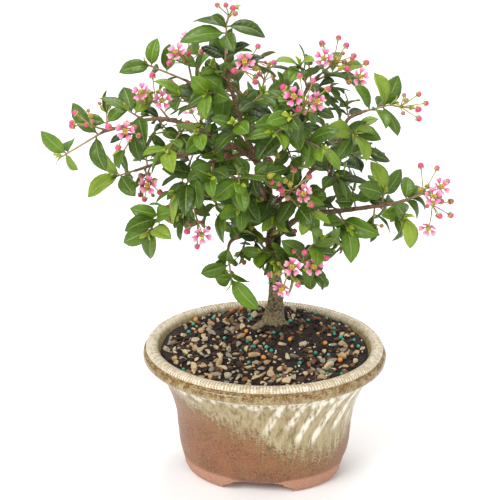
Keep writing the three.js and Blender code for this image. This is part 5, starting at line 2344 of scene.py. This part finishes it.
@dataclass
class Flower:
    """An open flower: five clawed, fringed petals round a golden tuft of stamens, on glandular sepals.

    rows are (share of the way out, half width); columns run across a petal.
    """

    inner: float = 1.2
    outer: float = 7.8
    notch: float = 0.8
    rise: float = 1.7
    cup: float = 0.5
    thickness: float = 0.24
    pedicel_radius: float = 0.45
    bud_radius: float = 2.55
    rows: tuple[tuple[float, float], ...] = (
        (0, 0.4), (0.17, 0.45), (0.3, 0.55), (0.38, 1.2), (0.5, 2.05), (0.66, 2.7), (0.82, 2.85),
        (0.94, 2.4), (1.0, 1.7),
    )
    columns: tuple[float, ...] = (-1, -0.68, -0.34, 0, 0.34, 0.68, 1)

    def petal(
        self, surface: Surface, centre: Vector, axes: tuple[Vector, Vector, Vector], draw: Draw,
    ) -> None:
        """Adds one petal as a thin closed body.

        Args:
            surface: Where it goes.
            centre: The flower's middle.
            axes: The ways out along the petal, across it and up.
            draw: What makes each a little different.
        """
        out, across, up = axes
        size, lean, phase = draw.between(0.92, 1.04), draw.between(-0.25, 0.5), draw.turn()
        loops, places = [], []
        for place, half in self.rows:
            top, bottom = [], []
            for column in self.columns:
                fringe = smooth(0.8, 1, place)
                reach = mix(self.inner, self.outer * size, place)
                reach -= fringe * self.notch * math.exp(-((column / 0.35) ** 2))
                reach += fringe * 0.22 * math.sin(11 * column + phase)
                rise = 0.3 + self.rise * place ** 1.3 + lean * place
                rise += self.cup * (column * column - 0.4) * smooth(0.3, 0.6, place)
                rise += 0.28 * math.sin(5 * column + 6 * place + phase) * smooth(0.4, 0.9, place)
                spot = centre + out * reach + across * (half * size * column) + up * rise
                top.append(spot + up * (self.thickness / 2))
                bottom.append(spot - up * (self.thickness / 2))
            loops.append(top + bottom[::-1])
            row = [(place, (c + 1) / 2) for c in self.columns]
            places.append(row + row[::-1])
        surface.rings(loops, Bloom.PETAL.number, draw.between(0.35, 0.7), places)

    def calyx(
        self,
        surface: Surface,
        centre: Vector,
        axis: Vector,
        turn: float,
        spread: float,
        size: float,
        draw: Draw,
    ) -> None:
        """Adds five small sepals, each with its two swollen glands.

        Args:
            surface: Where it goes.
            centre: The middle of the calyx.
            axis: The way the flower looks.
            turn: Where its first sepal lies.
            spread: How far out the glands stand.
            size: The glands' radius.
            draw: What makes each a little different.
        """
        for k in range(5):
            out = spoke(axis, turn + (k + 0.5) * 2 * math.pi / 5)
            across = axis.cross(out)
            tone = draw.next()
            foot = centre + out * (spread * 0.8) + axis * (size * 0.7)
            lean = (out + axis).normalized()
            surface.blob(foot, lean, size * 0.75, 1.7, Bloom.SEPAL.number, tone, 5, 3)
            for way in (-1, 1):
                spot = centre + out * spread + across * (way * size * 0.85)
                surface.blob(spot, axis, size, 1.25, Bloom.SEPAL.number, tone, 6, 3)

    def stalk(self, surface: Surface, start: Vector, end: Vector, way: Vector, tone: float) -> None:
        """Adds a thin stalk that bows into the way it ends in.

        Args:
            surface: Where it goes.
            start: Where it starts.
            end: Where it ends.
            way: Its direction at its end.
            tone: How olive it is.
        """
        steps = 7
        reach = (end - start).length
        points, radii = [], []
        for k in range(steps + 1):
            t = k / steps
            bend = end - way * (reach * 0.4)
            points.append(start * (1 - t) ** 2 + bend * (2 * t * (1 - t)) + end * t * t)
            radii.append(self.pedicel_radius * (1 + 0.25 * (k == 2) + 0.5 * smooth(0.85, 1, t)))
        surface.tube(points, radii, 6, Bloom.STALK.number, tone)

    def open_flower(
        self, surface: Surface, start: Vector, centre: Vector, face: Vector, turn: float, draw: Draw,
    ) -> None:
        """Adds an open flower on its stalk.

        Args:
            surface: Where it goes.
            start: Where its stalk leaves the hub.
            centre: Its middle.
            face: The way it looks.
            turn: Where its first petal lies.
            draw: What makes each a little different.
        """
        self.stalk(surface, start, centre - face * 1.1, face, draw.between(0.1, 0.6))
        for k in range(5):
            out = spoke(face, turn + k * 2 * math.pi / 5 + draw.between(-0.06, 0.06))
            self.petal(surface, centre, (out, face.cross(out), face), draw)
        self.calyx(surface, centre - face * 0.9, face, turn, 1.5, 0.72, draw)
        surface.blob(centre + face * 0.5, face, 1.35, 1.1, Bloom.SEPAL.number, 0.9, 9, 5)
        for k in range(10):
            out = spoke(face, turn + k * math.pi / 5)
            foot = centre + out * 0.9 + face * 0.6
            tip = centre + out * (1.9 if k % 2 else 1.35) + face * draw.between(2.3, 3.0)
            surface.tube([foot, tip], [0.16, 0.13], 4, Bloom.ANTHER.number, 0.9)
            surface.blob(tip, (out + face).normalized(), 0.52, 1.3, Bloom.ANTHER.number, draw.next(), 6, 4)
        for k in range(3):
            out = spoke(face, turn + 0.5 + k * 2 * math.pi / 3)
            tip = centre + out * 0.8 + face * 3.3
            surface.tube([centre + face * 1.4, tip], [0.2, 0.18], 5, Bloom.SEPAL.number, 1.0)
            surface.blob(tip, face, 0.3, 1, Bloom.SEPAL.number, 1.0, 6, 4)

    def bud(
        self, surface: Surface, start: Vector, centre: Vector, radius: float, ripe: float, draw: Draw,
    ) -> None:
        """Adds a round bud on its stalk.

        Args:
            surface: Where it goes.
            start: Where its stalk leaves the hub.
            centre: Its middle.
            radius: Its radius.
            ripe: How pink it is, from 0 to 1.
            draw: What makes each a little different.
        """
        axis = (centre - start).normalized()
        self.stalk(surface, start, centre - axis * (radius * 0.85), axis, draw.between(0, 0.7))
        ball = centre + axis * (radius * 0.12)
        surface.blob(ball, axis, radius * 0.95, 1.0, Bloom.BUD.number, ripe, 15, 6, 0.06)
        turn = draw.turn()
        self.calyx(surface, centre - axis * (radius * 0.42), axis, turn, radius * 0.8, radius * 0.27, draw)

    def spent(self, surface: Surface, start: Vector, centre: Vector, draw: Draw) -> None:
        """Adds a flower that has dropped its petals: a yellow, knobbly calyx with a dry tuft.

        Args:
            surface: Where it goes.
            start: Where its stalk leaves the hub.
            centre: Its middle.
            draw: What makes each a little different.
        """
        axis = (centre - start).normalized()
        self.stalk(surface, start, centre - axis, axis, draw.between(0.2, 0.8))
        self.calyx(surface, centre - axis * 0.5, axis, draw.turn(), 1.55, 0.75, draw)
        surface.blob(centre + axis * 0.5, axis, 1.2, 1.3, Bloom.SEPAL.number, 0.6, 8, 5)
        for _ in range(7):
            out = spoke(axis, draw.turn())
            tip = centre + out * 1.5 + axis * draw.between(1.6, 2.6)
            surface.tube([centre + axis * 0.8, tip], [0.2, 0.14], 4, Bloom.ANTHER.number, 0.5)
            surface.blob(tip, axis, 0.42, 1.2, Bloom.ANTHER.number, draw.next(), 5, 3)


@dataclass
class FlowerClusters:
    """The flower clusters, each one piece: stalks with swollen hubs, flowers, buds and spent flowers."""

    flower: Flower = field(default_factory=Flower)
    stalk_radius: float = 0.75
    hub_radius: float = 1.25
    more_buds: int = 4
    # The cluster that is crowded with buds
    crowded: str = "left_high"
    crowded_buds: int = 11
    more_reach: tuple[float, float] = (8, 12.5)
    bud_sizes: tuple[float, float] = (1.5, 2.35)
    spent_share: float = 0.3
    # Two directions whose product is above this are too near to each other
    too_near: float = 0.86

    def hub(self, surface: Surface, start: Vector, centre: Vector, draw: Draw) -> None:
        """Adds a stalk and the swollen, scaly hub at its end.

        Args:
            surface: Where it goes.
            start: Where the stalk starts.
            centre: The hub's middle.
            draw: What makes each a little different.
        """
        way = (centre - start).normalized()
        points = [start.lerp(centre, k / 5) for k in range(6)]
        radii = [self.stalk_radius * (1 + 0.15 * (k % 2)) for k in range(5)] + [self.hub_radius]
        surface.tube(points, radii, 8, Bloom.STALK.number, 0.15)
        surface.blob(centre, way, self.hub_radius, 1.15, Bloom.STALK.number, 0.3, 9, 5, 0.06)
        for _ in range(5):
            out = spoke(way, draw.turn())
            scale, lean = centre + out * self.hub_radius - way * 0.5, (out * 0.7 + way).normalized()
            surface.blob(scale, lean, 0.4, 2.4, Bloom.STALK.number, 0.9, 6, 4)

    def fill(
        self, surface: Surface, centre: Vector, way: Vector, used: list[Vector], draw: Draw, count: int,
    ) -> None:
        """Adds more buds and spent flowers in the free directions of an umbel.

        Args:
            surface: Where they go.
            centre: The hub's middle.
            way: The way the umbel looks.
            used: The directions that are taken. The new ones are added.
            draw: Where they fall.
            count: How many are wanted.
        """
        added = 0
        for _ in range(60):
            if added == count:
                return
            aside = (draw.way() + way * 0.9 + Vector((0, 0, 0.25))).normalized()
            reach = draw.between(*self.more_reach)
            kind, ripe, size = draw.next(), draw.next(), draw.between(*self.bud_sizes)
            if any(aside.dot(other) > self.too_near for other in used):
                continue
            used.append(aside)
            start, goal = centre + aside * 0.9, centre + aside * reach
            if kind < self.spent_share:
                self.flower.spent(surface, start, goal, draw)
            else:
                self.flower.bud(surface, start, goal, size, ripe * 0.75, draw)
            added += 1

    def cluster(self, row: Cluster) -> Surface:
        """One cluster.

        Args:
            row: Its place, its flowers and its buds.

        Returns:
            The cluster.
        """
        surface = Surface()
        layout, loose = Draw(row.seed), Draw(row.seed + 97)
        shoot = next((s for s in SHOOTS if s.name == row.bearer), None)
        if shoot:
            line = TreeWood.spur(shoot.limb, shoot.at, in_tree(shoot.tip))
            start = line.tip - line.along * 0.4
        else:
            line = TreeWood.spur(row.bearer, row.at, in_tree(row.umbels[0].hub))
            start = line.end - line.along * 0.6
        for umbel in row.umbels:
            centre = in_tree(umbel.hub)
            self.hub(surface, start, centre, loose)
            used = [(start - centre).normalized()]
            for place in umbel.flowers:
                middle = in_tree(place)
                way = (middle - centre).normalized()
                tilt = in_tree((layout.between(-0.3, 0.3), -0.25, layout.between(-0.1, 0.4)))
                face = (way + tilt).normalized()
                used.append(way)
                turn = layout.turn()
                self.flower.open_flower(surface, centre + way * HUB_RADIUS * 0.5, middle, face, turn, loose)
            for place in umbel.buds:
                middle = in_tree(place)
                way = (middle - centre).normalized()
                used.append(way)
                foot = centre + way * HUB_RADIUS * 0.5
                radius = self.flower.bud_radius * loose.between(0.85, 1.05)
                self.flower.bud(surface, foot, middle, radius, loose.between(0.35, 1), loose)
            more = self.crowded_buds if row.name == self.crowded else self.more_buds
            self.fill(surface, centre, (centre - start).normalized(), used, loose, more)
            start = centre
        return surface

    def build(self, bench: Bench) -> list[Surface]:
        """Builds every cluster.

        Args:
            bench: Where the pieces go.

        Returns:
            Their surfaces, for what has to keep clear of them.
        """
        finishes = [kind.value for kind in Bloom]
        grown = []
        for row in CLUSTERS:
            surface = self.cluster(row)
            bench.place(f"blossom_{row.name}", surface, finishes, "flower", [f"flowers_{row.name}"])
            grown.append(surface)
        return grown


@dataclass
class SideSprigs:
    """Short leafy sprigs along the limbs, some with a small head of buds, which fill the crown.

    Each is tried at a few angles and kept only where it clears all that has grown before it.
    """

    shoots: LeafyShoots
    clusters: FlowerClusters
    wanted: int = 104
    tries: int = 16
    reach: tuple[float, float] = (13, 27)
    leaf_length: float = 21
    headed: float = 0.24
    head_buds: int = 3
    crossings: int = 8
    room: float = 1
    batch_faces: int = 45000
    # Limbs that bear more of them, since the crown is fuller there
    fuller: tuple[str, ...] = (
        "low_front", "low_left", "left_low", "front_mid", "low_right", "right_low", "front_left", "top",
    )

    def candidate(self, name: str, at: float, draw: Draw) -> tuple[Surface, Surface]:
        """One sprig as it might grow.

        Args:
            name: The limb that it leaves.
            at: Where it leaves it.
            draw: What makes each different.

        Returns:
            The sprig, with its leaves, stem and any buds in one surface, and the part that must keep clear.
        """
        point, radius = TreeWood.limb_point(name, at)
        outward = (point - in_tree(CROWN_CENTRE)).normalized()
        way = (draw.way() + outward * 0.5 + Vector((0, 0, 0.2))).normalized()
        length = draw.between(*self.reach)
        line = Spur(point, point + way * length, min((radius + 0.5) / length, 0.4))
        growth = Growth(length=self.leaf_length * draw.between(0.75, 1.15))
        pairs = 2 if draw.next() < 0.55 else 3
        seed = int(draw.between(1, 900))
        headed = draw.next() < self.headed
        surface = Surface()
        for leaf in growth.by_rule(line, pairs, seed):
            self.shoots.blade.add(surface, self.shoots.varied(leaf, draw), draw)
        for leaf in growth.tuft(line, draw):
            YOUNG_BLADE.add(surface, leaf, draw)
        checked = Surface()
        checked.add(surface)
        self.shoots.stem(surface, Spur(point, line.tip, 0.8 / length), 2, 0.85)
        if headed:
            blossom = Surface()
            self.clusters.fill(blossom, line.tip, way, [-way], draw, self.head_buds)
            surface.add(blossom, len(self.shoots.finishes))
        return surface, checked

    def inside(self, surface: Surface, low: Vector, high: Vector) -> bool:
        """Whether a surface stays in a box."""
        return all(low[i] < point[i] < high[i] for point in surface.points for i in range(3))

    def build(self, bench: Bench, grown: Sequence[Surface], low: Vector, high: Vector) -> None:
        """Grows the sprigs and places them in a few pieces.

        Args:
            bench: Where the pieces go.
            grown: What they keep clear of.
            low: The lowest corner of the box that they stay in, in millimetres.
            high: Its highest corner.
        """
        outlines = [surface.outline() for surface in grown]
        low, high = (corner + Vector([room] * 3) for corner, room in ((low, self.room), (high, -self.room)))
        draw = Draw(77)
        names = [name for name in LIMBS for _ in range(3 if name in self.fuller else 2)]
        finishes = [*self.shoots.finishes, *(kind.value for kind in Bloom)]
        batch, kept, number = Surface(), 0, 1
        for k in range(self.wanted):
            name = names[int(draw.next() * len(names))]
            for _ in range(self.tries):
                surface, checked = self.candidate(name, draw.between(0.3, 0.97), draw)
                if not self.inside(surface, low, high):
                    continue
                outline = checked.outline()
                if sum(len(outline.overlap(other)) for other in outlines) > self.crossings:
                    continue
                outlines.append(surface.outline())
                batch.add(surface)
                kept += 1
                break
            if len(batch.faces) > self.batch_faces or (k == self.wanted - 1 and batch.faces):
                bench.place(f"side_sprigs_{number}", batch, finishes, "leaf")
                batch, number = Surface(), number + 1
        log.info("side sprigs: %d of %d kept", kept, self.wanted)


@dataclass
class Studio:
    """White paper, soft lamps and the camera, from a little above the front of the pot."""

    aim: tuple[float, float, float] = (-12, 0, 198.5)
    distance: float = 1400
    tilt: float = math.radians(23.2)
    view_angle: float = math.radians(16.6)
    paper_half: float = 6
    sky: float = 0.66
    # What the lamps shine at, in metres, and each lamp as (name, place, length of a side, power in watts)
    lit: tuple[float, float, float] = (0, 0, 0.2)
    lamps: tuple[tuple[str, tuple[float, float, float], float, float], ...] = (
        ("key", (-1.1, -1.5, 1.9), 1.2, 46),
        ("fill", (1.7, -1.3, 1.1), 1.6, 13),
        ("top", (0.2, 0.9, 2.2), 1.4, 32),
    )

    def paper(self) -> None:
        """Lays the paper that the pot stands on."""
        mesh = bpy.data.meshes.new("studio_paper")
        half = self.paper_half
        corners = [(-half, -half, 0), (half, -half, 0), (half, half, 0), (-half, half, 0)]
        mesh.from_pydata(corners, [], [(0, 1, 2, 3)])
        mesh.materials.append(PaperFloor().made())
        new_object("studio_paper", mesh)

    def lamp(self, name: str, place: Sequence[float], size: float, power: float) -> None:
        """Hangs one soft square lamp that shines at the tree.

        Args:
            name: Its name.
            place: Where it hangs, in metres.
            size: The length of its side.
            power: Its power in watts.
        """
        data = bpy.data.lights.new(name, "AREA")
        data.size = size
        data.energy = power
        lamp = new_object(name, data)
        lamp.location = place
        lamp.rotation_euler = (Vector(self.lit) - Vector(place)).to_track_quat("-Z", "Y").to_euler()

    def camera(self, bench: Bench) -> None:
        """Sets up the camera.

        Args:
            bench: Where the pot stands.
        """
        data = bpy.data.cameras.new("camera")
        data.sensor_fit = "HORIZONTAL"
        data.angle = self.view_angle
        back = Vector((0, -math.cos(self.tilt), math.sin(self.tilt))) * self.distance
        aim = Vector(self.aim)
        camera = new_object("camera", data)
        camera.location = bench.lay(in_tree(aim + back))
        camera.rotation_euler = (-in_tree(back)).to_track_quat("-Z", "Y").to_euler()
        bpy.context.scene.camera = camera

    def build(self, bench: Bench) -> None:
        """Sets up paper, lamps, world and camera.

        Args:
            bench: Where the pot stands.
        """
        scene = bpy.context.scene
        scene.view_settings.view_transform = "Standard"
        self.paper()
        for name, place, size, power in self.lamps:
            self.lamp(name, place, size, power)
        world = bpy.data.worlds.new("studio")
        scene.world = world
        world.use_nodes = True
        web = Web(world.node_tree)
        web.tree.nodes.clear()
        light = web.node("Background", {"Color": "#ffffff", "Strength": self.sky})
        web.node("OutputWorld", {"Surface": light.outputs[0]})
        self.camera(bench)


def main() -> None:
    """Builds the bonsai from the pot up, then the studio round it."""
    logging.basicConfig(level=logging.INFO, format="%(message)s")
    bench = Bench()
    Pot().build(bench)
    PottingMix().build(bench)
    spurs = [TreeWood.spur(row.limb, row.at, in_tree(row.tip)) for row in SHOOTS]
    on_limbs = [row for row in CLUSTERS if row.bearer in LIMBS]
    spurs += [TreeWood.spur(row.bearer, row.at, in_tree(row.umbels[0].hub)) for row in on_limbs]
    TreeWood().build(bench, spurs)
    shoots, clusters = LeafyShoots(), FlowerClusters()
    grown = shoots.build(bench) + clusters.build(bench)
    low, high = ((corner - bench.shift) / MM for corner in CAD_BOX)
    SideSprigs(shoots, clusters).build(bench, grown, low, high)
    Studio().build(bench)
    bpy.context.view_layer.update()


if __name__ == "__main__":
    main()
